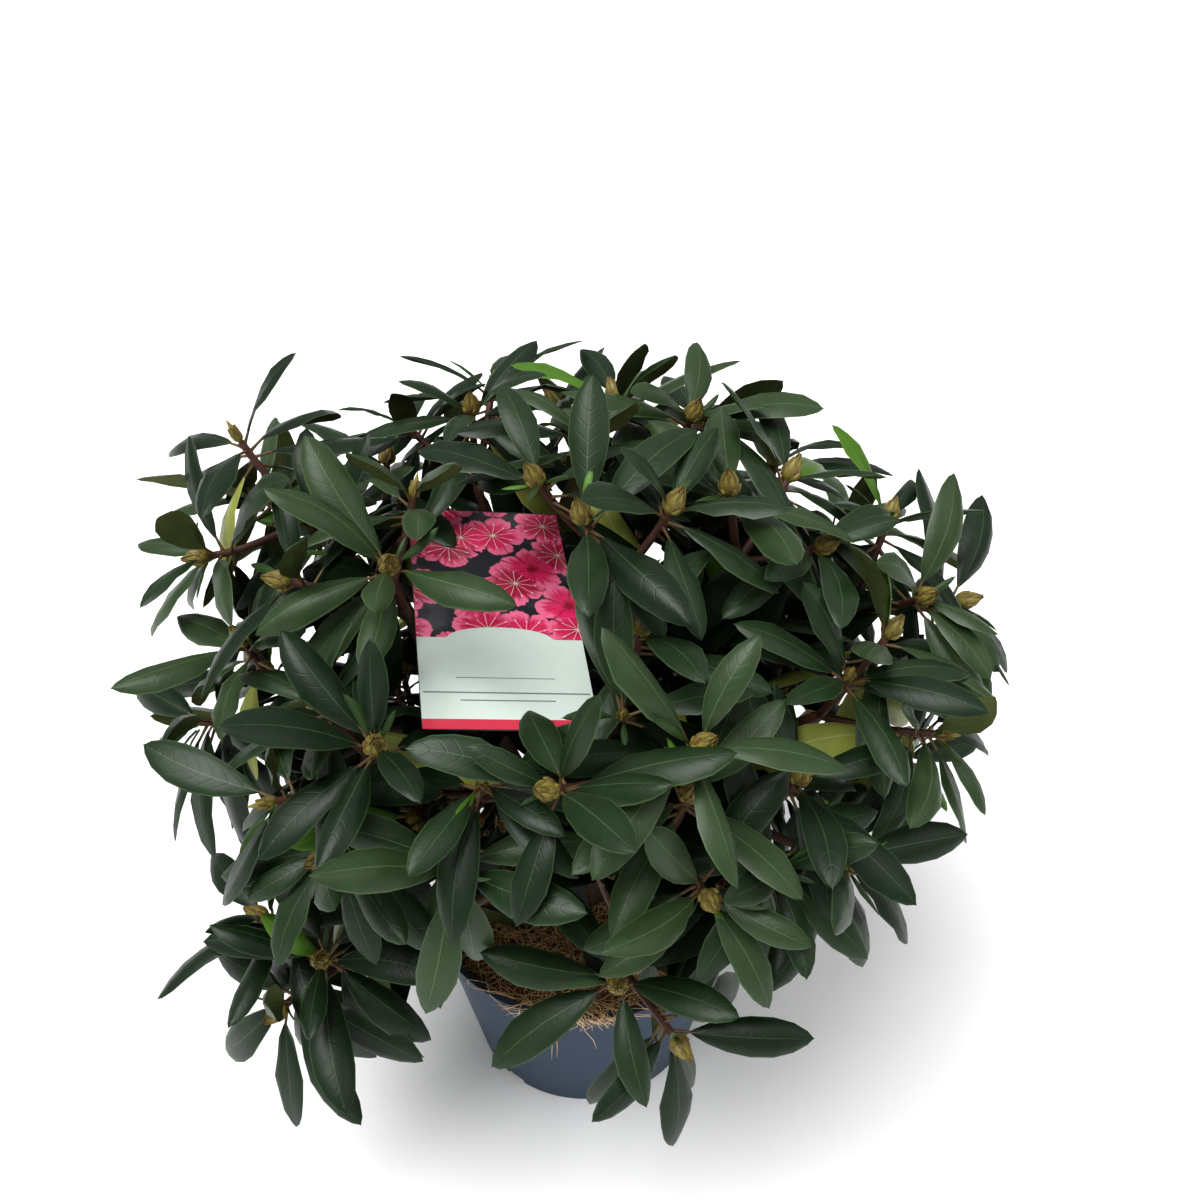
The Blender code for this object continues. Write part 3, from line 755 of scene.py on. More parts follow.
class Sheaf:
    """Many small shapes gathered into one mesh."""

    def __init__(self) -> None:
        """Starts empty."""
        self.points: list[np.ndarray] = []
        self.faces: dict[int, list[np.ndarray]] = {4: [], 3: []}
        self.slots: dict[int, list[np.ndarray]] = {4: [], 3: []}
        self.maps: dict[int, list[np.ndarray]] = {4: [], 3: []}
        self.count = 0

    def add(self, points: np.ndarray, faces: dict, slots: dict | int = 0, maps: dict | None = None) -> None:
        """Adds a shape.

        Args:
            points: Its points, one a row.
            faces: Its quads under 4 and its triangles under 3, as rows of indices.
            slots: The material slot of each face, under the same keys, or one slot for them all.
            maps: The (across, along, bake across, bake along) of each face's corners, under the same keys.
        """
        self.points.append(points)
        for sides, rows in faces.items():
            self.faces[sides].append(rows + self.count)
            self.slots[sides].append(np.full(len(rows), slots) if isinstance(slots, int) else slots[sides])
            if maps:
                self.maps[sides].append(maps[sides])
        self.count += len(points)

    def build(self, name: str, angle: float = 50) -> Piece:
        """Makes one object of all that was added.

        Args:
            name: Its name.
            angle: The least angle of a sharp edge, in degrees.

        Returns:
            The new object.
        """
        mesh = bpy.data.meshes.new(name)
        points = np.concatenate(self.points)
        mesh.vertices.add(len(points))
        mesh.vertices.foreach_set("co", points.ravel())
        loops, starts, slots, maps, begun = [], [], [], [], 0
        for sides in (4, 3):
            if self.faces[sides]:
                rows = np.concatenate(self.faces[sides])
                loops.append(rows.ravel())
                starts.append(begun + np.arange(len(rows)) * sides)
                slots.append(np.concatenate(self.slots[sides]))
                begun += rows.size
                if self.maps[sides]:
                    maps.append(np.concatenate(self.maps[sides]).reshape(-1, 4))
        mesh.loops.add(begun)
        mesh.loops.foreach_set("vertex_index", np.concatenate(loops))
        starts = np.concatenate(starts)
        mesh.polygons.add(len(starts))
        mesh.polygons.foreach_set("loop_start", starts)
        mesh.polygons.foreach_set("material_index", np.concatenate(slots))
        mesh.update(calc_edges=True)
        if maps:
            corners = np.concatenate(maps)
            for title, columns in ((PATTERN_MAP, (0, 1)), (BAKE_MAP, (2, 3))):
                layer = mesh.uv_layers.new(name=title, do_init=False)
                layer.uv.foreach_set("vector", corners[:, columns].astype(np.float32).ravel())
        mesh.validate()
        mesh.shade_smooth()
        mesh.set_sharp_from_angle(angle=math.radians(angle))
        made = bpy.data.objects.new(name, mesh)
        bpy.context.scene.collection.objects.link(made)
        return made


# The rule that the plant grows by.


@dataclass(frozen=True)
class Bough:
    """A main bough: the height where it leaves the trunk, and the mass at its tip."""

    name: str
    height: float
    mass: str


@dataclass(frozen=True)
class Mass:
    """A mass of leaves: its limb's parent, where its stem starts and leans, and how its shoots fan out.

    Attributes:
        name: Its name.
        parent: The bough that carries it.
        leave: The share of the bough's length at which its limb leaves; 1 is the bough's tip.
        azimuth: The direction of its stem's foot from the plant's axis, in degrees from +X.
        reach: How far that foot is from the axis.
        height: How high that foot is.
        rise: The stem's rise, in degrees.
        spread: How far its shoots lean from the stem, in degrees.
        turn: The direction of the first shoot round the stem, in degrees.
        shoot: The shoots' length.
        shoots: Their number.
        seed: The seed of its shoots.
        whorl: The seed of its leaves.
    """

    name: str
    parent: str
    leave: float
    azimuth: float
    reach: float
    height: float
    rise: float
    spread: float
    turn: float
    shoot: float
    shoots: int
    seed: int
    whorl: int


BOUGHS = (
    Bough("bough_front_left", 0.196, "front_left"),
    Bough("bough_front_right", 0.190, "right_front"),
    Bough("bough_back", 0.193, "back_middle"),
    Bough("bough_left", 0.226, "left_upper"),
    Bough("bough_right", 0.215, "right_middle"),
    Bough("bough_back_left", 0.203, "back_left"),
    Bough("bough_top", 0.240, "top_right"),
)

MASSES = (
    Mass("left_inner", "bough_front_left", 0.62, -131, 0.194, 0.444, 41, 39, 141, 0.075, 3, 2, 22),
    Mass("front_left", "bough_front_left", 1, -112, 0.172, 0.439, 29, 38, 283, 0.074, 3, 6, 6),
    Mass("left_skirt", "bough_front_left", 0.34, -141, 0.230, 0.237, 38, 34, 283, 0.071, 3, 2, 1),
    Mass("right_front", "bough_front_right", 1, -53, 0.185, 0.404, 18, 36, 199, 0.074, 3, 4, 21),
    Mass("front_right", "bough_front_right", 0.66, -72, 0.181, 0.417, 29, 36, 99, 0.073, 2, 4, 8),
    Mass("front_skirt", "bough_front_right", 0.36, -81, 0.175, 0.288, 13, 32, 302, 0.070, 2, 6, 20),
    Mass("left_upper", "bough_left", 1, -161, 0.141, 0.520, 72, 63, 13, 0.069, 3, 4, 12),
    Mass("left_outer", "bough_left", 0.55, -167, 0.210, 0.414, 27, 42, 100, 0.078, 2, 4, 7),
    Mass("left_lower", "bough_left", 0.40, -129, 0.179, 0.417, 34, 42, 278, 0.078, 2, 3, 20),
    Mass("crown_left", "bough_left", 0.75, 173, 0.196, 0.549, 14, 41, 205, 0.075, 3, 2, 8),
    Mass("right_middle", "bough_right", 1, -30, 0.187, 0.447, 41, 43, 32, 0.079, 3, 4, 19),
    Mass("right_outer", "bough_right", 0.70, -1, 0.195, 0.478, 29, 42, 158, 0.078, 3, 6, 17),
    Mass("right_upper", "bough_right", 0.55, -17, 0.110, 0.535, 59, 40, 132, 0.077, 3, 3, 11),
    Mass("right_lower", "bough_right", 0.35, 2, 0.190, 0.350, 14, 42, 40, 0.076, 2, 3, 13),
    Mass("top_right", "bough_top", 1, 52, 0.082, 0.542, 60, 42, 147, 0.078, 3, 3, 17),
    Mass("top_middle", "bough_top", 0.80, -45, 0.025, 0.533, 115, 35, 158, 0.080, 2, 6, 10),
    Mass("top_front", "bough_top", 0.62, -72, 0.078, 0.548, 70, 34, 5, 0.072, 2, 4, 21),
    Mass("centre", "bough_top", 0.45, -78, 0.128, 0.472, 58, 34, 77, 0.075, 2, 4, 22),
    Mass("front_centre", "bough_top", 0.30, -82, 0.184, 0.476, 43, 41, 189, 0.077, 2, 6, 20),
    Mass("back_left", "bough_back_left", 1, 150, 0.185, 0.455, 38, 42, 20, 0.078, 3, 2, 5),
    Mass("top_left", "bough_back_left", 0.65, 124, 0.156, 0.505, 60, 39, 71, 0.079, 3, 6, 22),
    Mass("back_left_low", "bough_back_left", 0.38, 172, 0.205, 0.335, 18, 40, 60, 0.076, 2, 5, 24),
    Mass("back_middle", "bough_back", 1, 88, 0.175, 0.480, 42, 42, 50, 0.078, 3, 3, 9),
    Mass("back_right", "bough_back", 0.60, 42, 0.195, 0.440, 34, 42, 100, 0.078, 3, 1, 24),
    Mass("back_right_low", "bough_back", 0.34, 52, 0.200, 0.320, 14, 40, 10, 0.076, 3, 2, 20),
    Mass("back_low", "bough_back", 0.45, 118, 0.205, 0.335, 16, 42, 80, 0.078, 2, 4, 23),
)


@dataclass(frozen=True)
class Growth:
    """The sizes that the plant grows by."""

    gap: float = 0.0003
    soil_top: float = 0.166
    fork_height: float = 0.245
    lean: Vector = Vector((0.004, -0.006, 0))
    bough_root: float = 0.0068
    bough_tip: float = 0.0042
    limb_root: float = 0.0050
    limb_tip: float = 0.0038
    stem_length: float = 0.022
    stem_radius: float = 0.0043
    shoot_root: float = 0.0034
    shoot_tip: float = 0.0032
    lift: float = 0.35
    level_height: float = 0.22
    lift_span: float = 0.25
    turn_jitter: float = 0.25
    leaf_length: float = 0.106
    leaf_half_width: float = 0.142
    leaf_ridge: float = 0.0030
    length_range: Span = (0.84, 1.16)
    young_length: float = 0.86
    length_step: float = 0.02
    bend_range: Span = (0.25, 0.65)
    first_open: float = 46.0
    open_step: float = 7.0
    open_jitter: float = 5.0
    leaf_turn_jitter: float = 0.14
    swing_step: float = 0.35
    leaf_middle: float = 0.55
    near_leaf: float = 0.138
    first_sag: float = 0.08
    sag_step: float = 0.05
    first_seat: float = 0.0035
    seat_step: float = 0.0021
    leaf_tries: int = 9
    clear: float = 0.0009
    space_overlap: float = 0.050
    lowest_leaf: float = 0.030
    bud_radius: float = 0.0078
    bud_length: float = 0.0235
    bud_belly: float = 0.40
    least_open: float = 18.0
    inner_step: float = 0.09
    light: float = 0.6
    least_light: float = 0.2
    least_seat: float = 0.001
    lean_range: Span = (0.8, 1.2)
    shoot_range: Span = (0.85, 1.15)
    shoot_sink: float = 0.002
    stem_over: float = 0.003
    stem_taper: float = 0.95
    bud_point: float = 0.0002
    bough_rise: float = 0.85
    bough_steps: int = 5
    limb_follow: float = 0.35
    limb_ahead: float = 0.05
    limb_steps: int = 4
    fine_steps: int = 30
    all_leaves: int = 11
    side_leaves: int = 8


RULE = Growth()

# Where a leaf's room is measured: the share of its length, and the share of its half width there.
ROOM_STATIONS = ((0.16, 0.22), (0.30, 0.62), (0.50, 0.98), (0.70, 1.00), (0.87, 0.68))

# A leaf's stalk: the share of the leaf's length and the radius there, and how far under the blade it runs.
STALK = ((0.0, 0.0019), (0.05, 0.00135), (0.10, 0.00115), (0.155, 0.00105), (0.21, 0.0006))
STALK_DROP = 0.0006

# A direction that no shoot points in: what stands across a shoot is found from it.
ASKEW = (0.3, 1, 0.1)


class Draw(Enum):
    """What a shoot's random numbers are drawn for: the factor and the offset of their seed."""

    TONE = (7, 3)
    BRACTS = (5, 1)
    BUD = (1, 77)
    LEAF = (31, 0)
    BRACT = (37, 0)



def hub_of(mass: Mass) -> tuple[Vector, Vector]:
    """Gives where a mass's stem starts and where it heads.

    Args:
        mass: The mass.

    Returns:
        The stem's first point and its heading.
    """
    azimuth, rise = math.radians(mass.azimuth), math.radians(mass.rise)
    radial = Vector((math.cos(azimuth), math.sin(azimuth), 0))
    return radial * mass.reach + UP * mass.height, radial * math.cos(rise) + UP * math.sin(rise)


def point_on_trunk(height: float) -> Vector:
    """Gives the trunk's axis at a height."""
    foot = RULE.soil_top + RULE.gap
    return RULE.lean * ((height - foot) / (RULE.fork_height - foot)) + UP * height


def curve_between(start: Vector, leave: Vector, end: Vector, arrive: Vector, steps: int) -> list[Vector]:
    """Draws a smooth curve.

    Args:
        start: Its first point.
        leave: Its heading there.
        end: Its last point.
        arrive: Its heading there.
        steps: How many steps it has.

    Returns:
        Its points.
    """
    pull = (end - start).length / 3
    first, second = start + leave * pull, end - arrive * pull
    line = []
    for step in range(steps + 1):
        t = step / steps
        s = 1 - t
        line.append(start * s**3 + first * 3 * s * s * t + second * 3 * s * t * t + end * t**3)
    return line


def at_share(line: Sequence, share: float) -> object:
    """Reads a list of points or radii between its entries.

    Args:
        line: The list.
        share: How far along it, from 0 to 1.

    Returns:
        The point or radius there.
    """
    place = min(share, 0.999) * (len(line) - 1)
    low = int(place)
    return line[low] + (line[low + 1] - line[low]) * (place - low)


@dataclass
class Route:
    """A bough's or limb's way from its parent to the stem of a mass."""

    name: str
    mass: Mass
    coarse: list[Vector]
    fine: list[Vector]
    radii: Span

    @classmethod
    def to(cls, mass: Mass, name: str, start: Vector, leave: Vector, radii: tuple, steps: int) -> "Route":
        """Draws a way.

        Args:
            mass: The mass that it ends at.
            name: Its CAD node.
            start: Its first point.
            leave: Its heading there.
            radii: Its radii at its root and tip.
            steps: The steps of its coarse line.

        Returns:
            The route.
        """
        ends = (start, leave, *hub_of(mass))
        return cls(name, mass, curve_between(*ends, steps), curve_between(*ends, RULE.fine_steps), radii)


def limb_routes() -> dict[str, Route]:
    """Works out every bough and limb from the two tables.

    Returns:
        The routes, by the name of their CAD node.
    """
    masses = {mass.name: mass for mass in MASSES}
    routes = {}
    for bough in BOUGHS:
        mass = masses[bough.mass]
        start = point_on_trunk(bough.height)
        out = hub_of(mass)[0] - start
        leave = (Vector((out.x, out.y, 0)).normalized() + UP * RULE.bough_rise).normalized()
        radii = (RULE.bough_root, RULE.bough_tip)
        routes[bough.name] = Route.to(mass, bough.name, start, leave, radii, RULE.bough_steps)
    for mass in MASSES:
        if mass.leave < 1:
            parent = routes[mass.parent].coarse
            start = at_share(parent, mass.leave)
            along = (at_share(parent, mass.leave + RULE.limb_ahead) - start).normalized()
            leave = ((hub_of(mass)[0] - start).normalized() + along * RULE.limb_follow).normalized()
            radii = (RULE.limb_root, RULE.limb_tip)
            name = "limb_" + mass.name
            routes[name] = Route.to(mass, name, start, leave, radii, RULE.limb_steps)
    return routes


@dataclass(frozen=True)
class Leaf:
    """A leaf: its root, heading, face direction, length, half width and the angle that it bends down by."""

    root: Vector
    heading: Vector
    face: Vector
    length: float
    half: float
    bend: float
    number: int = 0

    def at(self, share: float) -> tuple[Vector, Vector]:
        """Gives a place on the midrib.

        Args:
            share: How far along the leaf, from 0 to 1.

        Returns:
            The point and the leaf's face direction there.
        """
        turn = self.bend * share
        radius = self.length / self.bend
        along = self.heading * math.sin(turn) - self.face * (1 - math.cos(turn))
        return self.root + along * radius, self.face * math.cos(turn) + self.heading * math.sin(turn)

    def room(self) -> Surface:
        """Shapes the solid that the leaf keeps clear, a little larger than itself.

        Returns:
            Its points and faces.
        """
        side = self.heading.cross(self.face)
        points = []
        for share, width in ROOM_STATIONS:
            point, face = self.at(share)
            half = width * self.half + RULE.clear
            thick = min(RULE.leaf_ridge / 2, half) + RULE.clear
            low = point - face * thick
            points += [low - side * half, low + side * half, point + face * thick]
        points.append(self.at(1 + RULE.clear / self.length)[0])
        last = len(points) - 1
        faces = [(2, 1, 0)]
        for low in range(0, last - 3, 3):
            for one, other in ((0, 1), (1, 2), (2, 0)):
                faces.append((low + one, low + other, low + 3 + other, low + 3 + one))
        for one, other in ((3, 2), (2, 1), (1, 3)):
            faces.append((last - one, last - other, last))
        return points, faces


@dataclass(eq=False)
class Shoot:
    """A shoot: its mass, the seed of its leaves, its line, the way its whorl faces and its leaves' size."""

    mass: Mass
    key: int
    line: list[Vector]
    heading: Vector
    size: float = 1.0

    def __post_init__(self) -> None:
        """Starts its random numbers and finds what stands across it."""
        self.foot = self.line[0]
        self.tip = self.line[-1]
        self.rng = random.Random(self.key)
        self.start = self.rng.uniform(0, 2 * math.pi)
        self.across = self.heading.cross(ASKEW).normalized()
        self.over = self.heading.cross(self.across)
        self.leaves: list[Leaf] = []

    def draws(self, purpose: Draw, number: int = 0) -> random.Random:
        """Gives the shoot's random numbers for one purpose, or for one leaf of it."""
        factor, offset = purpose.value
        return random.Random(self.key * factor + offset + number)

    def leaf(self, number: int, swing: float) -> Leaf:
        """Draws one leaf of the whorl.

        Args:
            number: Its number, from the youngest.
            swing: How far it is swung aside.

        Returns:
            The leaf.
        """
        rng = self.rng
        turn = self.start + GOLDEN_ANGLE * number
        turn = turn + rng.uniform(-RULE.leaf_turn_jitter, RULE.leaf_turn_jitter) + swing
        opened = RULE.first_open + RULE.open_step * number + rng.uniform(-RULE.open_jitter, RULE.open_jitter)
        opened = math.radians(max(opened, RULE.least_open))
        length = RULE.leaf_length * rng.uniform(*RULE.length_range) * self.size
        length *= RULE.young_length + (RULE.length_step if number >= 0 else RULE.inner_step) * number
        bend = rng.uniform(*RULE.bend_range)
        radial = self.across * math.cos(turn) + self.over * math.sin(turn)
        heading = self.heading * math.cos(opened) + radial * math.sin(opened)
        heading = (heading - UP * (RULE.first_sag + RULE.sag_step * number)).normalized()
        light = (self.heading + UP) * RULE.light
        face = light - heading * light.dot(heading)
        if face.length < RULE.least_light:
            face = -radial + heading * radial.dot(heading)
        root = self.tip - self.heading * max(RULE.first_seat + RULE.seat_step * number, RULE.least_seat)
        return Leaf(root, heading, face.normalized(), length, length * RULE.leaf_half_width, bend, number)


def grow_shoots(mass: Mass) -> list[Shoot]:
    """Fans a mass's shoots out from its fork by its seeded rule.

    Args:
        mass: The mass.

    Returns:
        Its shoots.
    """
    rng = random.Random(mass.seed)
    hub, axis = hub_of(mass)
    fork = hub + axis * RULE.stem_length
    azimuth = math.radians(mass.azimuth)
    side = Vector((-math.sin(azimuth), math.cos(azimuth), 0))
    over = axis.cross(side)
    if over.z < 0:
        over = -over
    whorl_lift = RULE.lift * max(0, (mass.height - RULE.level_height) / RULE.lift_span)
    shoots = []
    for number in range(mass.shoots):
        turn = math.radians(mass.turn) + 2 * math.pi * number / mass.shoots
        turn += rng.uniform(-RULE.turn_jitter, RULE.turn_jitter)
        lean = math.radians(mass.spread) * rng.uniform(*RULE.lean_range)
        length = mass.shoot * rng.uniform(*RULE.shoot_range)
        outward = side * math.cos(turn) + over * math.sin(turn)
        heading = axis * math.cos(lean) + outward * math.sin(lean)
        lifted = (heading + UP * RULE.lift).normalized()
        middle = fork + heading * length * 0.5
        line = [fork - heading * RULE.shoot_sink, middle, middle + lifted * length * 0.5]
        facing = (heading + UP * whorl_lift).normalized()
        shoots.append(Shoot(mass, mass.whorl * 100 + number, line, facing))
    return shoots


def tube(line: Sequence[Vector], radii: Sequence[float], sides: int) -> tuple[np.ndarray, dict]:
    """Makes a closed round tube along a line.

    Args:
        line: Its points.
        radii: Its radius at each.
        sides: How many sides it has.

    Returns:
        Its points and its faces, for a Sheaf.
    """
    spine = np.array([tuple(point) for point in line])
    ahead = np.gradient(spine, axis=0)
    ahead /= np.linalg.norm(ahead, axis=1)[:, None]
    across = np.cross(ahead[0], (1.0, 0, 0) if abs(ahead[0][0]) < 0.8 else (0, 1.0, 0))
    turns = 2 * np.pi * np.arange(sides) / sides
    rings = []
    for point, heading, radius in zip(spine, ahead, radii):
        across = across - heading * across.dot(heading)
        across /= np.linalg.norm(across)
        over = np.cross(heading, across)
        rings.append(point + radius * (np.cos(turns)[:, None] * across + np.sin(turns)[:, None] * over))
    points = np.concatenate([*rings, spine[:1], spine[-1:]])
    return points, tube_faces(len(line), sides)


def tube_faces(rings: int, sides: int) -> dict:
    """Gives the faces of a tube whose two end points come last.

    Args:
        rings: How many rings it has.
        sides: How many sides.

    Returns:
        Its quads under 4 and its triangles under 3.
    """
    low = (np.arange(rings - 1)[:, None] * sides + np.arange(sides)).ravel()
    after = (np.arange(rings - 1)[:, None] * sides + (np.arange(sides) + 1) % sides).ravel()
    quads = np.stack([low, after, after + sides, low + sides], 1)
    side = np.arange(sides)
    beside = (side + 1) % sides
    last, foot = (rings - 1) * sides, rings * sides
    foot_fan = np.stack([beside, side, np.full(sides, foot)], 1)
    tip_fan = np.stack([last + side, last + beside, np.full(sides, foot + 1)], 1)
    return {4: quads, 3: np.concatenate([foot_fan, tip_fan])}


def grid_faces(rows: int, columns: int) -> tuple[np.ndarray, np.ndarray]:
    """Gives the faces of a grid of points that lie row by row.

    Args:
        rows: How many rows it has.
        columns: How many points a row has.

    Returns:
        Its quads, and the edges round its border, each with its later point first.
    """
    index = np.arange(rows * columns).reshape(rows, columns)
    quads = np.stack([index[:-1, :-1], index[:-1, 1:], index[1:, 1:], index[1:, :-1]], -1).reshape(-1, 4)
    border = np.concatenate([index[0, :], index[1:, -1], index[-1, -2::-1], index[-2:0:-1, 0]])
    return quads, np.stack([np.roll(border, -1), border], 1)


def tree_of(points: list, faces: list) -> BVHTree:
    """Makes a search tree of a solid's faces."""
    return BVHTree.FromPolygons(points, faces)


def coarse_tube(line: Sequence[Vector], radii: Sequence[float], sides: int) -> BVHTree:
    """Makes the search tree of a coarse tube.

    Args:
        line: Its points.
        radii: Its radius at each.
        sides: How many sides it has.

    Returns:
        Its search tree.
    """
    points, faces = tube(line, radii, sides)
    rows = [tuple(row) for group in faces.values() for row in group.tolist()]
    return tree_of([Vector(point) for point in points.tolist()], rows)


def node_tree(name: str) -> BVHTree:
    """Makes the search tree of a CAD node.

    Args:
        name: The node's name.

    Returns:
        Its search tree.
    """
    mesh = frame["nodes"][name].data
    faces = [tuple(face.vertices) for face in mesh.polygons]
    return tree_of([vertex.co.copy() for vertex in mesh.vertices], faces)


@dataclass
class LabelCard:
    """The label's place: a card that eases from its slope at the foot to a lower one at the head."""

    width: float = 0.125
    length: float = 0.250
    thick: float = 0.0009
    foot: Vector = Vector((-0.047, -0.150, 0.487))
    yaw: float = 98.8
    slope: float = 8.0
    bend: float = 10.0
    roll: float = -8.0
    steps: int = 8
    margin: float = 0.018
    panel: float = 0.098
    panel_clear: float = -0.010
    view: Vector = Vector((0.06, -0.74, 0.67))

    def __post_init__(self) -> None:
        """Works out the card's line."""
        yaw, roll = math.radians(self.yaw), math.radians(self.roll)
        self.along = Vector((math.cos(yaw), math.sin(yaw), 0))
        level = self.along.cross(UP)
        self.across = (level * math.cos(roll) + UP * math.sin(roll)).normalized()
        self.line = [self.foot.copy()]
        for step in range(self.steps):
            slope = math.radians(self.slope + self.bend * (0.5 - (step + 0.5) / self.steps))
            move = self.along * math.cos(slope) + UP * math.sin(slope)
            self.line.append(self.line[-1] + move * self.length / self.steps)

    def face(self, number: int) -> Vector:
        """Gives the card's upward direction at a station."""
        low, high = max(0, number - 1), min(self.steps, number + 1)
        return self.across.cross((self.line[high] - self.line[low]).normalized()).normalized()

    def at(self, aside: float, ahead: float, lift: float) -> Vector:
        """Places a point on the card.

        Args:
            aside: Metres from its middle line, to the right.
            ahead: Metres from its foot.
            lift: Metres above its middle surface.

        Returns:
            The point.
        """
        place = min(max(ahead / self.length, 0), 1) * self.steps
        low = min(int(place), self.steps - 1)
        part = place - low
        spot = self.line[low].lerp(self.line[low + 1], part)
        face = self.face(low).lerp(self.face(low + 1), part)
        return spot + self.across * aside + face * lift

    def hidden_by(self, point: Vector, margin: float) -> bool:
        """Says whether a point stands before the card, as seen from the front and above.

        Args:
            point: The point.
            margin: How far a leaf may reach over the card's edge.

        Returns:
            Whether it hides what lies within that margin.
        """
        middle = self.steps // 2
        up = self.face(middle)
        rise = (point - self.line[middle]).dot(up)
        if rise < 0:
            return False
        seat = point - self.view * (rise / self.view.dot(up)) - self.line[0]
        ahead = seat.dot(self.along) / math.cos(math.radians(self.slope))
        aside = seat.dot(self.across)
        if ahead < self.panel and aside < 0:
            margin = min(margin, self.panel_clear)
        inside = margin < ahead < self.length - margin
        return inside and abs(aside) < self.width / 2 - margin


@dataclass
class Crown:
    """Grows the crown: first the leaves of the solids' rule, then older leaves and finer twigs.

    The later growth leaves an open place at the front, where the coir and the pot's rim show."""

    routes: dict[str, Route]
    card: LabelCard
    window: Vector = Vector((-0.038, -0.105, 0.150))
    window_radius: float = 0.088
    outlook: Vector = Vector((0.05, -0.72, 0.90)).normalized()
    middle: Vector = Vector((0, 0, 0.33))
    fringe: float = 0.050
    card_clear: float = 0.004
    box_slack: float = 0.008
    cover_count: int = 7
    cover_reach: float = 0.10
    cover_least: float = 0.03
    cover_rise: float = 0.10
    drape_ahead: float = 0.80
    drape_shoots: int = 8
    drape_numbers: int = 6
    drape_turns: int = 24
    drape_share: float = 0.75
    drape_least: float = 0.006
    drape_most: float = 0.062
    first_leaves: int = 7
    side_shares: tuple[float, ...] = (0.34, 0.46, 0.58, 0.69, 0.80, 0.91)
    side_tries: int = 6
    side_seed: int = 5000
    side_ahead: float = 0.03
    side_along: float = 0.45
    side_rise: float = 0.3
    side_seat: float = 0.0078
    side_lengths: Span = (0.040, 0.075)
    side_sizes: Span = (0.72, 0.90)

    def __post_init__(self) -> None:
        """Places the shoots that the solids have."""
        hard = ["pot", "root_ball", "plant_label", "trunk", *self.routes]
        self.fixed = [node_tree(name) for name in hard]
        self.low, self.high = Vector(CAD_BOX[0]), Vector(CAD_BOX[1])
        self.hearts: dict[str, Vector] = {}
        self.shoots: list[Shoot] = []
        self.woods: list[tuple[Shoot, BVHTree]] = []
        self.placed: list[tuple[BVHTree, Vector]] = []
        self.filling = False
        own = {mass.name: self.stem_tree(mass) for mass in MASSES}
        for mass in MASSES:
            others = [tree for name, tree in own.items() if name != mass.name]
            kept = [shoot for shoot in grow_shoots(mass) if self.add_shoot(shoot, others)]
            self.hearts[mass.name] = sum((shoot.tip for shoot in kept), Vector()) / len(kept)
        self.fixed += own.values()

    @staticmethod
    def stem_tree(mass: Mass) -> BVHTree:
        """Makes the search tree of a mass's stem.

        Args:
            mass: The mass.

        Returns:
            The search tree.
        """
        hub, axis = hub_of(mass)
        line = [hub + axis * RULE.gap, hub + axis * (RULE.stem_length + RULE.stem_over)]
        return coarse_tube(line, [RULE.stem_radius, RULE.stem_radius * RULE.stem_taper], 3)

    def add_shoot(self, shoot: Shoot, others: Sequence[BVHTree]) -> bool:
        """Keeps a shoot that touches nothing.

        Args:
            shoot: The shoot.
            others: Search trees besides those of fixed pieces that it must clear.

        Returns:
            Whether it was kept.
        """
        belly = shoot.tip + shoot.heading * RULE.bud_length * RULE.bud_belly
        end = shoot.tip + shoot.heading * RULE.bud_length
        radii = [RULE.shoot_root, (RULE.shoot_root + RULE.shoot_tip) / 2, RULE.shoot_tip, RULE.bud_radius]
        radii = [radius * shoot.size for radius in (*radii, RULE.bud_point)]
        wood = coarse_tube([*shoot.line, belly, end], radii, 4)
        rooms = [room for room, _ in self.placed]
        if any(wood.overlap(other) for other in [*self.fixed, *others, *rooms]):
            return False
        if any(wood.overlap(other) for one, other in self.woods if one.mass is not shoot.mass):
            return False
        self.shoots.append(shoot)
        self.woods.append((shoot, wood))
        return True

    def in_space(self, mass: Mass, point: Vector) -> bool:
        """Says whether a leaf of a mass may reach a point.

        Args:
            mass: The mass.
            point: The point.

        Returns:
            Whether it is in the mass's own space, in the box and over the least height.
        """
        own = (point - self.hearts[mass.name]).length
        nearest = min((point - heart).length for heart in self.hearts.values())
        slack = 0 if self.filling else self.box_slack
        boxed = all(low - slack < x < high + slack for low, x, high in zip(self.low, point, self.high))
        return own < nearest + RULE.space_overlap and point.z > RULE.lowest_leaf and boxed

    def fits(self, shoot: Shoot, leaf: Leaf, margin: float) -> BVHTree | None:
        """Says whether a leaf has room.

        Args:
            shoot: Its shoot.
            leaf: The leaf.
            margin: How far it may reach over the card's edge.

        Returns:
            The search tree of its room where that is free, or None.
        """
        middle, tip = leaf.at(RULE.leaf_middle)[0], leaf.at(1)[0]
        if not self.in_space(shoot.mass, tip) or not self.in_space(shoot.mass, middle):
            return None
        spots = [leaf.at(share / 8)[0] for share in range(2, 9)]
        if any(self.card.hidden_by(spot, margin) for spot in spots):
            return None
        if self.filling and any(self.hides_pot(spot) or self.stands_out(shoot, spot) for spot in spots):
            return None
        room = tree_of(*leaf.room())
        for other, place in self.placed:
            if (place - middle).length < RULE.near_leaf and room.overlap(other):
                return None
        if any(room.overlap(other) for other in self.fixed):
            return None
        if any(room.overlap(wood) for owner, wood in self.woods if owner is not shoot):
            return None
        return room

    def stands_out(self, shoot: Shoot, point: Vector) -> bool:
        """Says whether a point is further from the crown's middle than the shoot's rosette reaches."""
        reach = (self.hearts[shoot.mass.name] - self.middle).length + self.fringe
        return (point - self.middle).length > reach

    def hides_pot(self, point: Vector) -> bool:
        """Says whether a point stands before the open place where coir and pot show at the front."""
        offset = point - self.window
        ahead = offset.dot(self.outlook)
        return ahead > 0 and (offset - self.outlook * ahead).length < self.window_radius

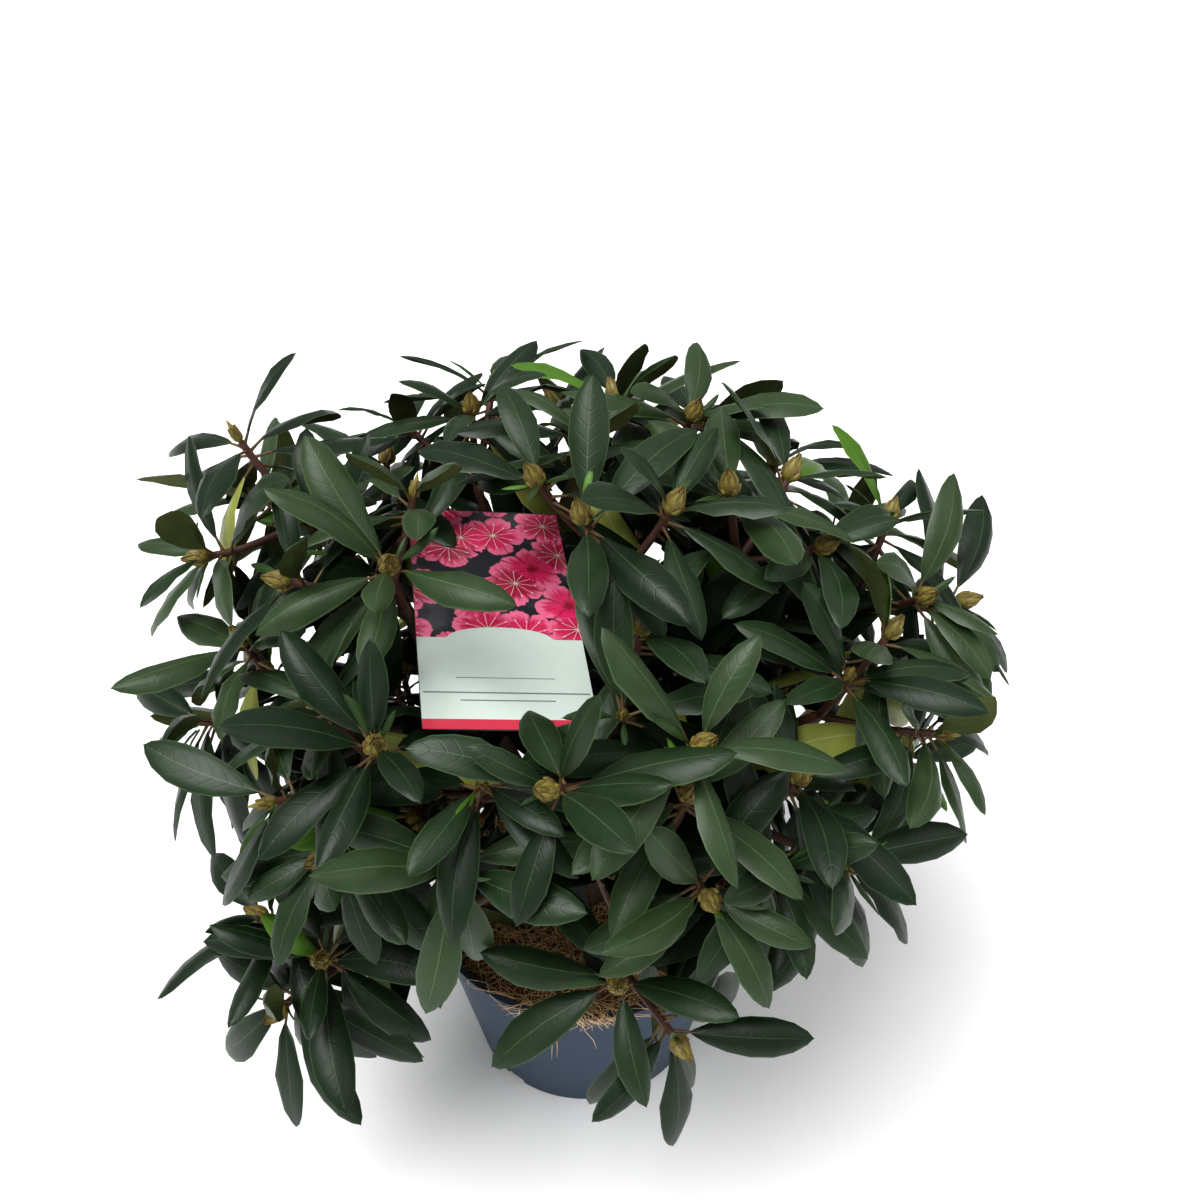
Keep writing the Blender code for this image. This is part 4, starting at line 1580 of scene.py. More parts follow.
    def covered(self, point: Vector) -> bool:
        """Says whether a place is shaded.

        Args:
            point: The place.

        Returns:
            Whether several leaves lie close over it, further out.
        """
        outward = (point - self.middle + UP * self.cover_rise).normalized()
        over = [place - point for _, place in self.placed]
        near = sum(arm.length < self.cover_reach and arm.dot(outward) > self.cover_least for arm in over)
        return near > self.cover_count

    def place(self, shoot: Shoot, number: int) -> None:
        """Tries one leaf at a few angles, and keeps the first that fits.

        Args:
            shoot: The shoot.
            number: The leaf's number in its whorl.
        """
        margin = -self.card_clear if self.filling else self.card.margin
        for attempt in range(RULE.leaf_tries):
            swing = RULE.swing_step * ((attempt + 1) // 2) * (-1) ** attempt
            if self.keep(shoot, shoot.leaf(number, swing), margin):
                return

    def keep(self, shoot: Shoot, leaf: Leaf, margin: float) -> bool:
        """Keeps a leaf that fits.

        Args:
            shoot: Its shoot.
            leaf: The leaf.
            margin: How far it may reach over the card's edge.

        Returns:
            Whether it was kept.
        """
        room = self.fits(shoot, leaf, margin)
        if room:
            self.placed.append((room, leaf.at(RULE.leaf_middle)[0]))
            shoot.leaves.append(leaf)
        return bool(room)

    def drape(self) -> None:
        """Lets the rosettes beside the card's upper left corner reach over it, each with one more leaf."""
        corner = self.card.at(-self.card.width / 2, self.card.length * self.drape_ahead, 0)
        near = sorted(self.shoots, key=lambda shoot: (shoot.tip - corner).length)[: self.drape_shoots]
        for shoot in near:
            for trial in range(self.drape_numbers * self.drape_turns):
                number, step = divmod(trial, self.drape_turns)
                leaf = shoot.leaf(number, 2 * math.pi * step / self.drape_turns)
                over = self.card.hidden_by(leaf.at(self.drape_share)[0], self.drape_least)
                if over and self.keep(shoot, leaf, self.drape_most):
                    log.info("draped: %s, leaf %d", shoot.mass.name, number)
                    break

    def grow(self) -> None:
        """Grows all leaves: the whorls, their older leaves, then side twigs off every limb."""
        for number in range(self.first_leaves):
            for shoot in self.shoots:
                self.place(shoot, number)
        self.drape()
        self.filling = True
        for number in (-1, -2, *range(self.first_leaves, RULE.all_leaves)):
            for shoot in self.shoots:
                self.place(shoot, number)
        for row, route in enumerate(self.routes.values()):
            for number, share in enumerate(self.side_shares):
                self.side_shoot(route, share, self.side_seed + row * 100 + number * 10)
        leaves = sum(len(shoot.leaves) for shoot in self.shoots)
        log.info("crown: %d shoots, %d leaves", len(self.shoots), leaves)

    def side_shoot(self, route: Route, share: float, seed: int) -> None:
        """Grows a finer twig off a limb, at the first of a few headings where it has room.

        Args:
            route: The limb.
            share: The share of its length where the twig leaves.
            seed: The seed of its headings and leaves.
        """
        point = at_share(route.fine, share)
        along = (at_share(route.fine, share + self.side_ahead) - point).normalized()
        for key in range(seed, seed + self.side_tries):
            rng = random.Random(key)
            around = Vector([rng.uniform(*span) for span in ((-1, 1), (-1, 1), (-0.4, 1))])
            aside = along.cross(around).normalized()
            heading = (along * self.side_along + aside + UP * self.side_rise).normalized()
            length = rng.uniform(*self.side_lengths)
            middle = point + heading * length * 0.5
            lifted = (heading + UP * RULE.lift).normalized()
            line = [point + heading * self.side_seat, middle, middle + lifted * length * 0.5]
            shoot = Shoot(route.mass, key, line, lifted, rng.uniform(*self.side_sizes))
            shoot.foot = point
            if self.hides_pot(shoot.tip) or self.card.hidden_by(shoot.tip, -2 * self.card_clear):
                continue
            if self.add_shoot(shoot, ()):
                for leaf in range(RULE.side_leaves):
                    self.place(shoot, leaf)
                return


# The fine meshes of leaves, twigs and buds.


@dataclass
class BladeForm:
    """The mesh that leaves share: a ring of points, over the blade and back under it, at each station."""

    stations: int
    columns: tuple[float, ...] = (-1.0, -0.55, 0.0, 0.55, 1.0)
    stalk_share: float = 0.14
    base_power: float = 0.86
    tip_power: float = 0.64
    point: float = 0.0016
    thick: float = 0.00042
    spans: tuple[Span, ...] = (
        (0.20, 0.60), (0.45, 0.95), (0.05, 0.18), (1.2, 2.6),
        (0, 6.28), (-0.5, 0.5), (-0.05, 0.05), (0.0, 0.14),
    )

    def __post_init__(self) -> None:
        """Works out the grid, its faces and its maps once."""
        count = len(self.columns)
        top = np.array(self.columns)
        under = top[-2:0:-1]
        self.across = np.concatenate([top, under])
        self.is_under = np.concatenate([np.zeros(count), np.ones(len(under))])
        ring = len(self.across)
        step = np.arange(self.stations + 1) / self.stations
        blade = 0.5 - 0.5 * np.cos(np.pi * step)
        self.blade = np.clip(blade, 0.004, 0.996)
        peak = self.base_power / (self.base_power + self.tip_power)
        height = peak**self.base_power * (1 - peak) ** self.tip_power
        self.width = self.blade**self.base_power * (1 - self.blade) ** self.tip_power / height
        self.share = self.stalk_share + (1 - self.stalk_share) * self.blade
        rings = self.stations + 1
        self.faces = tube_faces(rings, ring)
        upper = np.arange(ring) < count - 1
        self.under_quad = np.tile(~upper, rings - 1)
        self.under_fan = np.tile(~upper, 2)
        corner = np.concatenate([self.across, [self.across[0]]])
        u = np.stack([corner[:-1], corner[1:], corner[1:], corner[:-1]], 1) / 2 + 0.5
        v = np.stack([self.share[:-1], self.share[:-1], self.share[1:], self.share[1:]], 1)
        quad = np.zeros((rings - 1, ring, 4, 2))
        quad[..., 0] = u[None]
        quad[..., 1] = v[:, None]
        fan = np.zeros((2, ring, 3, 2))
        fan[0, :, 0, 0], fan[0, :, 1, 0] = corner[1:] / 2 + 0.5, corner[:-1] / 2 + 0.5
        fan[1, :, 0, 0], fan[1, :, 1, 0] = corner[:-1] / 2 + 0.5, corner[1:] / 2 + 0.5
        fan[:, :, 2, 0] = 0.5
        fan[0, ..., 1], fan[1, ..., 1] = self.share[0], self.share[-1]
        self.quad_map, self.fan_map = quad.reshape(-1, 4, 2), fan.reshape(-1, 3, 2)
        for rows in (self.faces[4], self.quad_map):
            rows[self.under_quad] = np.roll(rows[self.under_quad], -1, axis=1)

    def maps(self, tone: int) -> dict:
        """Lays the leaf in its tone's cell of the bake map: the upper face beside the underside.

        Args:
            tone: The tone's place among the tones.

        Returns:
            The corner rows of its quads and triangles, for a Sheaf.
        """
        made = {}
        cell = 1 / (2 * len(Tone))
        for sides, own, under in ((4, self.quad_map, self.under_quad), (3, self.fan_map, self.under_fan)):
            left = (2 * tone + under)[:, None] * cell
            baked = own.copy()
            baked[..., 0] = left + cell * (0.04 + 0.92 * own[..., 0])
            made[sides] = np.concatenate([own, baked], 2)
        return made

    def add_to(self, sheaf: Sheaf, leaf: Leaf, tone: Tone, rng: random.Random) -> None:
        """Adds one leaf to a sheaf.

        Args:
            sheaf: The sheaf.
            leaf: The leaf.
            tone: Its tone.
            rng: Its own random numbers.
        """
        place = list(Tone).index(tone)
        slots = {4: 2 * place + self.under_quad, 3: 2 * place + self.under_fan}
        sheaf.add(self.points(leaf, rng), self.faces, slots, self.maps(place))

    def points(self, leaf: Leaf, rng: random.Random) -> np.ndarray:
        """Shapes one leaf: arched, folded, rippled and a little twisted.

        Args:
            leaf: The leaf.
            rng: Its own random numbers.

        Returns:
            Its points.
        """
        fold, arch, ripple, waves, phase, twist, bow, curl = [rng.uniform(*span) for span in self.spans]
        share = self.share[:, None]
        blade = self.blade[:, None]
        turn = leaf.bend * share
        radius = leaf.length / leaf.bend
        heading, face = np.array(leaf.heading), np.array(leaf.face)
        side = np.cross(heading, face)
        spine = np.array(leaf.root) + radius * (np.sin(turn) * heading - (1 - np.cos(turn)) * face)
        spine = spine + side * (bow * leaf.length * np.sin(np.pi * blade))
        spine = spine - face * (curl * leaf.length * blade**4)
        normal = np.cos(turn) * face + np.sin(turn) * heading
        angle = twist * blade
        lateral = np.cos(angle) * side + np.sin(angle) * normal
        normal = np.cos(angle) * normal - np.sin(angle) * side
        across = self.across[None, :]
        under = self.is_under[None, :]
        edge = np.abs(across)
        half = self.width[:, None] * leaf.half
        wave = np.sin(2 * np.pi * waves * blade + phase + 1.9 * np.sign(across))
        rise = half * (fold * edge - arch * edge**2 + ripple * edge**2 * wave * (1 - blade**4))
        groove = np.exp(-((across / 0.10) ** 2)) * (1 - 0.7 * blade)
        body = self.thick * (1 - edge**4)
        rise = rise + np.where(under > 0, -body - 0.0009 * groove, body - 0.00045 * groove)
        grid = spine[:, None, :] + lateral[:, None, :] * (half * across)[..., None]
        grid = grid + normal[:, None, :] * rise[..., None]
        ahead = spine[-1] - spine[-2]
        tip = spine[-1] + ahead / np.linalg.norm(ahead) * self.point
        return np.concatenate([grid.reshape(-1, 3), spine[:1], tip[None]])


def stalk_of(leaf: Leaf) -> tuple[list[Vector], list[float]]:
    """Gives a leaf's stalk, from inside its shoot to under the blade's base.

    Args:
        leaf: The leaf.

    Returns:
        Its line and radii.
    """
    line = []
    for share, _ in STALK:
        point, face = leaf.at(share)
        line.append(point - face * STALK_DROP)
    return line, [radius for _, radius in STALK]


@dataclass
class Bud:
    """A fat flower bud in overlapping scales, or a slim leaf bud."""

    tip: np.ndarray
    heading: np.ndarray
    plump: float
    seed: int
    rows: int = 4
    slim_rows: int = 2
    slim_radius: float = 0.005
    a_row: int = 5
    grid: tuple[int, int] = (4, 5)
    core: tuple[int, int] = (6, 8)
    core_sink: float = 0.0004
    length_range: Span = (0.88, 1.0)

    def __post_init__(self) -> None:
        """Works out the bud's size and what stands across its axis."""
        self.across = np.cross(self.heading, ASKEW)
        self.across /= np.linalg.norm(self.across)
        self.over = np.cross(self.heading, self.across)
        self.rng = random.Random(self.seed)
        self.radius = RULE.bud_radius * self.plump
        self.length = RULE.bud_length * self.rng.uniform(*self.length_range)

    def surface(self, along: np.ndarray, turn: np.ndarray, lift: np.ndarray) -> np.ndarray:
        """Gives points on the egg-shaped surface.

        Args:
            along: Shares of the length.
            turn: Angles round the axis.
            lift: Metres off the surface.

        Returns:
            The points.
        """
        round_up = np.clip(along, 0, 1)
        radius = self.radius * (np.sin(np.pi * round_up**0.66) ** 0.85 * 0.93 + 0.22 * (1 - round_up)) + lift
        axis = self.tip + self.heading * (along * self.length)[..., None]
        arm = np.cos(turn)[..., None] * self.across + np.sin(turn)[..., None] * self.over
        return axis + radius[..., None] * arm

    def add_to(self, sheaf: Sheaf) -> None:
        """Adds the bud's core and its scales.

        Args:
            sheaf: The sheaf to add them to.
        """
        rings, sides = self.core
        turns = 2 * np.pi * np.arange(sides) / sides
        along, turn = np.meshgrid(np.linspace(0.0, 0.985, rings), turns, indexing="ij")
        ring = self.surface(along, turn, np.full(along.shape, -self.core_sink)).reshape(-1, 3)
        ends = np.array([self.tip, self.tip + self.heading * self.length])
        sheaf.add(np.concatenate([ring, ends]), tube_faces(rings, sides))
        for row in range(self.rows if self.radius > self.slim_radius else self.slim_rows):
            for number in range(self.a_row):
                turn = GOLDEN_ANGLE * (row * self.a_row + number) + self.rng.uniform(-0.12, 0.12)
                base = 0.02 + 0.19 * row + self.rng.uniform(-0.02, 0.02)
                reach = min(0.40 + 0.03 * row, 1.03 - base)
                self.add_scale(sheaf, turn, base, reach, row)

    def add_scale(self, sheaf: Sheaf, turn: float, base: float, reach: float, row: int) -> None:
        """Adds one scale, closed by a point inside the bud.

        Args:
            sheaf: The sheaf to add it to.
            turn: Its direction round the bud.
            base: The share of the length where it starts.
            reach: How far up it reaches.
            row: Its row, from the foot.
        """
        rows, columns = self.grid
        up, aside = np.meshgrid(np.linspace(0, 1, rows), np.linspace(-1, 1, columns), indexing="ij")
        width = (0.62 - 0.05 * row) * np.sqrt(np.clip(1 - up**2.4, 0.02, 1))
        lift = 0.0007 * (1 - aside**4) * (0.45 + up) + 0.0004 * up
        lift = np.where((np.abs(aside) > 0.99) | (up < 0.01), -0.0006, lift)
        points = self.surface(base + reach * up, turn + aside * width, lift)
        inside = self.tip + self.heading * self.length * (base + reach * 0.4)
        quads, border = grid_faces(rows, columns)
        fan = np.insert(border, 2, rows * columns, axis=1)
        sheaf.add(np.concatenate([points.reshape(-1, 3), inside[None]]), {4: quads, 3: fan}, row % 2)


@dataclass
class Foliage:
    """The masses of leaves, with their twigs, stalks and buds, gathered by the bough that carries them."""

    crown: Crown
    effects: Effects
    stations: int = 8
    side_stations: int = 6
    slim_share: float = 0.22
    slim_bud: float = 0.40
    fat_bud: float = 0.82
    bud_sink: float = 0.001
    bract_young_share: float = 0.08
    bract_counts: tuple[int, ...] = (0, 1, 2, 2, 3)
    bract_open: Span = (36, 62)
    bract_length: Span = (0.020, 0.044)
    bract_bend: Span = (0.1, 0.5)
    bract_half: float = 0.085
    bract_aside: float = 0.002
    # Height under which sprays are dealt mostly the deep tone: painted shade for the lower crown.
    painted_shade_height: float = 0.43
    young_share: float = 0.09
    yellow_share: float = 0.06
    yellowing: tuple[str, ...] = ("right_middle",)

    def build(self) -> None:
        """Builds three pieces for each bough: its leaves, its twigs and its buds."""
        self.form = BladeForm(self.stations)
        self.small = BladeForm(self.side_stations)
        blades = [finish.build(self.effects) for tone in Tone for finish in self.blade_finishes(tone)]
        finishes = (
            GrainFinish("young_bark", (0.080, 0.030, 0.018), 260, 0.9, 0.55, 0.0003),
            GrainFinish("leaf_stalk", (0.130, 0.078, 0.030), 300, 0.7, 0.5, 0.0002),
            GrainFinish("bud_scale", (0.235, 0.195, 0.042), 420, 0.7, 0.5, 0.0003),
            GrainFinish("bud_scale_brown", (0.165, 0.118, 0.036), 420, 0.9, 0.6, 0.0003),
        )
        young, stalk, scale, husk = [finish.build(self.effects) for finish in finishes]
        for bough in BOUGHS:
            masses = [mass for mass in MASSES if mass.parent == bough.name]
            nodes = ["leaves_" + mass.name for mass in masses]
            shoots = [shoot for shoot in self.crown.shoots if shoot.mass in masses]
            side = bough.name.removeprefix("bough_")
            dress(self.leaves(shoots).build("foliage_" + side, 70), "foliage", nodes, *blades)
            dress(self.twigs(masses, shoots).build("twigs_" + side, 60), "bark", (), young, stalk)
            dress(self.buds(shoots).build("buds_" + side, 40), "foliage", (), scale, husk)

    @staticmethod
    def blade_finishes(tone: Tone) -> tuple[BladeFinish, BladeFinish]:
        """Gives a tone's finishes.

        Args:
            tone: The tone.

        Returns:
            The finishes of the upper face and of the underside.
        """
        # Painted shade: covered leaves get a low gloss, so they reflect less of the bright sky.
        gloss = 0.08 if tone is Tone.SHADE else 0.32
        upper = BladeFinish("leaf_" + tone.title, tone.upper, tone.rib, 0.32, 0.40, gloss)
        under = BladeFinish("leaf_under_" + tone.title, tone.under, tone.rib, 0.7, 0.62, 0.08)
        return upper, under

    def tone_of(self, shoot: Shoot, leaf: Leaf, rng: random.Random) -> Tone:
        """Deals a leaf its tone: one for the spray, with a few young or yellow leaves, and darker tones as
        painted shade on low sprays and inside the crown.

        Args:
            shoot: The spray.
            leaf: The leaf.
            rng: The leaf's random numbers.

        Returns:
            The tone.
        """
        spray = shoot.draws(Draw.TONE)
        # Painted shade: sprays low in the crown get mostly the deep tone, and higher sprays get lighter
        # tones.
        low = shoot.tip.z < self.painted_shade_height
        main = spray.choices((Tone.DEEP, Tone.MID, Tone.SOFT), (7, 2, 0) if low else (3, 4, 3))[0]
        draw = rng.random()
        if leaf.number <= 0 and draw < self.young_share:
            return Tone.YOUNG
        aged = shoot.mass.name in self.yellowing and leaf.number >= Crown.first_leaves + 1
        if aged or (leaf.number >= Crown.first_leaves and draw < self.yellow_share):
            return Tone.YELLOW
        # Side-twig and older leaves lie inside the crown. They get the deep tone, and the SHADE tone where
        # they are covered, as painted shade; older leaves are also a darker green of their own.
        if shoot.size < 1 or leaf.number >= Crown.first_leaves:
            return Tone.SHADE if self.crown.covered(leaf.at(RULE.leaf_middle)[0]) else Tone.DEEP
        return rng.choice((Tone.DEEP, Tone.MID, main)) if draw > 0.75 else main

    def leaves(self, shoots: Sequence[Shoot]) -> Sheaf:
        """Gathers the blades.

        Args:
            shoots: The shoots that carry them.

        Returns:
            Their sheaf.
        """
        sheaf = Sheaf()
        for shoot in shoots:
            for leaf in shoot.leaves:
                rng = shoot.draws(Draw.LEAF, leaf.number)
                form = self.form if shoot.size == 1 else self.small
                form.add_to(sheaf, leaf, self.tone_of(shoot, leaf, rng), rng)
            for leaf in self.bracts(shoot):
                rng = shoot.draws(Draw.BRACT, leaf.number)
                tone = Tone.YOUNG if rng.random() < self.bract_young_share else Tone.FRESH
                self.small.add_to(sheaf, leaf, tone, rng)
        return sheaf

    def bracts(self, shoot: Shoot) -> list[Leaf]:
        """Draws the slim young leaves that stand beside a bud.

        Args:
            shoot: The bud's shoot.

        Returns:
            Up to three small leaves.
        """
        rng = shoot.draws(Draw.BRACTS)
        made = []
        if shoot.size < 1:
            return made
        for number in range(rng.choice(self.bract_counts)):
            turn = rng.uniform(0, 2 * math.pi)
            opened = math.radians(rng.uniform(*self.bract_open))
            radial = shoot.across * math.cos(turn) + shoot.over * math.sin(turn)
            heading = shoot.heading * math.cos(opened) + radial * math.sin(opened)
            face = (shoot.heading - heading * shoot.heading.dot(heading)).normalized()
            length = rng.uniform(*self.bract_length)
            root = shoot.tip + radial * self.bract_aside - shoot.heading * self.bud_sink
            bend = rng.uniform(*self.bract_bend)
            made.append(Leaf(root, heading, face, length, length * self.bract_half, bend, number))
        return made

    @staticmethod
    def twigs(masses: Sequence[Mass], shoots: Sequence[Shoot]) -> Sheaf:
        """Gathers the stems, shoots and leaf stalks.

        Args:
            masses: The masses, for their stems.
            shoots: The shoots.

        Returns:
            Their sheaf.
        """
        sheaf = Sheaf()
        for mass in masses:
            hub, axis = hub_of(mass)
            line = [hub + axis * (RULE.stem_length * share - 0.002) for share in (0, 0.3, 0.6, 0.9, 1.25)]
            sheaf.add(*tube(line, [0.0040, 0.0040, 0.0039, 0.0042, 0.0020], 12))
        for shoot in shoots:
            leave = (shoot.line[1] - shoot.foot).normalized()
            line = curve_between(shoot.foot, leave, shoot.tip, shoot.heading, 6)
            size = 0.0029 * (0.75 + 0.25 * shoot.size)
            radii = [size * (1.12 - 0.020 * step + 0.06 * (step % 2)) for step in range(7)]
            sheaf.add(*tube(line, radii, 8))
            for leaf in shoot.leaves:
                line, radii = stalk_of(leaf)
                sheaf.add(*tube(line, radii, 6), 1)
        return sheaf

    def buds(self, shoots: Sequence[Shoot]) -> Sheaf:
        """Gathers the buds: fat ones on most tips, slim ones on the rest.

        Args:
            shoots: The shoots.

        Returns:
            Their sheaf.
        """
        sheaf = Sheaf()
        for shoot in shoots:
            slim = shoot.size < 1 or shoot.draws(Draw.BUD).random() < self.slim_share
            foot = np.array(shoot.tip - shoot.heading * self.bud_sink)
            plump = self.slim_bud if slim else self.fat_bud
            Bud(foot, np.array(shoot.heading), plump, shoot.key).add_to(sheaf)
        return sheaf


@dataclass
class Wood:
    """The trunk, boughs and limbs, with the relief of their bark."""

    routes: dict[str, Route]
    effects: Effects
    foot: float = 0.0215
    waist: float = 0.0135
    fork: float = 0.0115
    foot_fall: float = 6.5
    end_share: float = 0.7
    sink: float = 0.003
    over_fork: float = 0.002
    trunk_grid: tuple[int, int] = (44, 30)
    flare: float = 0.0055
    flare_height: float = 0.011
    flare_turn: float = 0.8
    roots: int = 5
    relief: float = 0.11
    grain: float = 140.0
    limb_sides: int = 14
    collar: float = 0.35
    collar_fall: float = 14.0
    scars: int = 4
    scar: float = 0.16
    scar_width: float = 0.02
    scar_range: Span = (0.15, 0.95)

    def build(self) -> None:
        """Builds the trunk and, as one piece, the boughs and limbs."""
        finish = GrainFinish("bark", (0.098, 0.062, 0.042), 190, 1.3, 0.82, 0.0012).build(self.effects)
        trunk = Sheaf()
        trunk.add(*self.trunk())
        dress(trunk.build("trunk_bark", 60), "bark", ["trunk"], finish)
        limbs = Sheaf()
        for route in self.routes.values():
            limbs.add(*self.limb(route))
        dress(limbs.build("bough_bark", 60), "bark", list(self.routes), finish)

    def roughen(self, points: np.ndarray, centres: np.ndarray, sides: int) -> np.ndarray:
        """Moves a tube's points out and in by the bark's relief.

        Args:
            points: The tube's points, with its two end points last.
            centres: The middle of each ring.
            sides: How many points a ring has.

        Returns:
            The moved points.
        """
        made = points.copy()
        for number in range(len(points) - 2):
            centre = centres[number // sides]
            spot = Vector(points[number]) * self.grain
            swell = noise.noise(spot) + 0.5 * noise.noise(spot * 2.7)
            made[number] = centre + (points[number] - centre) * (1 + self.relief * swell)
        return made

    def trunk(self) -> tuple[np.ndarray, dict]:
        """Shapes the trunk: its root flare, waist and fork.

        Returns:
            Its points and faces.
        """
        rings, sides = self.trunk_grid
        foot = RULE.soil_top - self.sink
        heights = np.linspace(foot, RULE.fork_height + self.over_fork, rings)
        line = [point_on_trunk(height) for height in heights]
        above = (heights - foot) / (RULE.fork_height - foot)
        flare = (self.foot - self.waist) * np.exp(-above * self.foot_fall)
        radii = self.waist + flare - (self.waist - self.fork) * above**2
        radii[-1] *= self.end_share
        points, faces = tube(line, radii, sides)
        centres = np.array([tuple(point) for point in line])
        for number in range(rings * sides):
            ring = number // sides
            arm = points[number] - centres[ring]
            turn = math.atan2(arm[1], arm[0])
            fade = math.exp(-(heights[ring] - foot) / self.flare_height)
            root = (0.5 + 0.5 * math.cos(self.roots * turn + self.flare_turn)) * fade
            points[number] = points[number] + arm / np.linalg.norm(arm) * self.flare * root
        return self.roughen(points, centres, sides), faces

    def limb(self, route: Route) -> tuple[np.ndarray, dict]:
        """Shapes one bough or limb, with a collar at its root and the rings of old bud scars.

        Args:
            route: Its route.

        Returns:
            Its points and faces.
        """
        line = route.fine
        first, last = route.radii
        count = len(line)
        rng = random.Random(len(route.name) * 17 + int(line[-1].x * 1e4))
        scars = [rng.uniform(*self.scar_range) for _ in range(self.scars)]
        radii = []
        for number in range(count):
            share = number / (count - 1)
            radius = first + (last - first) * share
            collar = self.collar * math.exp(-share * self.collar_fall)
            scar = sum(self.scar * math.exp(-(((share - place) / self.scar_width) ** 2)) for place in scars)
            radii.append(radius * (1 + collar + scar))
        points, faces = tube(line, radii, self.limb_sides)
        centres = np.array([tuple(point) for point in line])
        return self.roughen(points, centres, self.limb_sides), faces


@dataclass
class Pot:
    """The grower's pot: tapered wall, rim band, rounded lip and drain notches round its foot."""

    effects: Effects
    sides: int = 104
    height: float = 0.165
    rim_radius: float = 0.143
    base_radius: float = 0.106
    wall: float = 0.0028
    floor: float = 0.004
    rim_band: float = 0.007
    rim_lip: float = 0.0022
    notches: int = 7
    notch_size: Triple = (0.016, 0.020, 0.012)
    notch_edge: float = 0.002
    edge: float = 0.0009
    sharp: float = 38.0

    def build(self) -> None:
        """Models the pot from a cylinder, cuts its notches and rounds its edges."""
        top = self.rim_radius - self.rim_lip
        pot = add_primitive(
            bpy.ops.mesh.primitive_cone_add,
            "pot_shell",
            vertices=self.sides,
            radius1=self.base_radius,
            radius2=top,
            depth=self.height,
            location=(0, 0, self.height / 2),
        )
        half = self.height / 2
        with edit_mode(pot):
            bpy.ops.mesh.select_all(action="SELECT")
            band = self.height - self.rim_band
            bpy.ops.mesh.bisect(plane_co=(0, 0, band), plane_no=(0, 0, 1))
            pick(
                pot,
                "FACE",
                lambda face: abs(face.normal.z) < 0.5 and face.calc_center_median().z > band - half,
            )
            bpy.ops.mesh.extrude_region_shrink_fatten(TRANSFORM_OT_shrink_fatten={"value": self.rim_lip})
            pick(pot, "FACE", lambda face: face.normal.z > 0.9 and len(face.verts) > 8)
            bpy.ops.mesh.inset(thickness=self.wall)
            drop = self.height - self.floor
            inner = (self.base_radius - self.wall + 0.001) / (top - self.wall)
            bpy.ops.mesh.extrude_region_move(TRANSFORM_OT_translate={"value": (0, 0, -drop)})
            bpy.ops.transform.resize(value=(inner, inner, 1), center_override=(0, 0, self.floor))
            bpy.ops.mesh.select_all(action="SELECT")
            bpy.ops.mesh.normals_make_consistent(inside=False)
        self.cut_notches(pot)
        sharp = math.radians(self.sharp)
        apply_modifier(pot, "BEVEL", width=self.edge, segments=2, limit_method="ANGLE", angle_limit=sharp)
        finish = PlasticFinish("pot_plastic", (0.044, 0.068, 0.108), (0.085, 0.110, 0.150), 0.25, 0.42, 0.16)
        dress(settle(pot, 35), "pot", ["pot"], finish.build(self.effects))

    def cut_notches(self, pot: Piece) -> None:
        """Cuts the drain notches.

        Args:
            pot: The pot.
        """
        deep, wide, tall = self.notch_size
        for number in range(self.notches):
            turn = 2 * math.pi * (number + 0.5) / self.notches
            place = (self.base_radius * math.cos(turn), self.base_radius * math.sin(turn), 0)
            tool = add_primitive(bpy.ops.mesh.primitive_cube_add, "notch_tool", size=1, location=place)
            tool.scale = (deep, wide, tall)
            tool.rotation_euler = (0, 0, turn)
            settle(tool)
            apply_modifier(tool, "BEVEL", width=self.notch_edge, segments=3)
            apply_modifier(pot, "BOOLEAN", operation="DIFFERENCE", object=tool, solver="EXACT")
            bpy.data.objects.remove(tool)


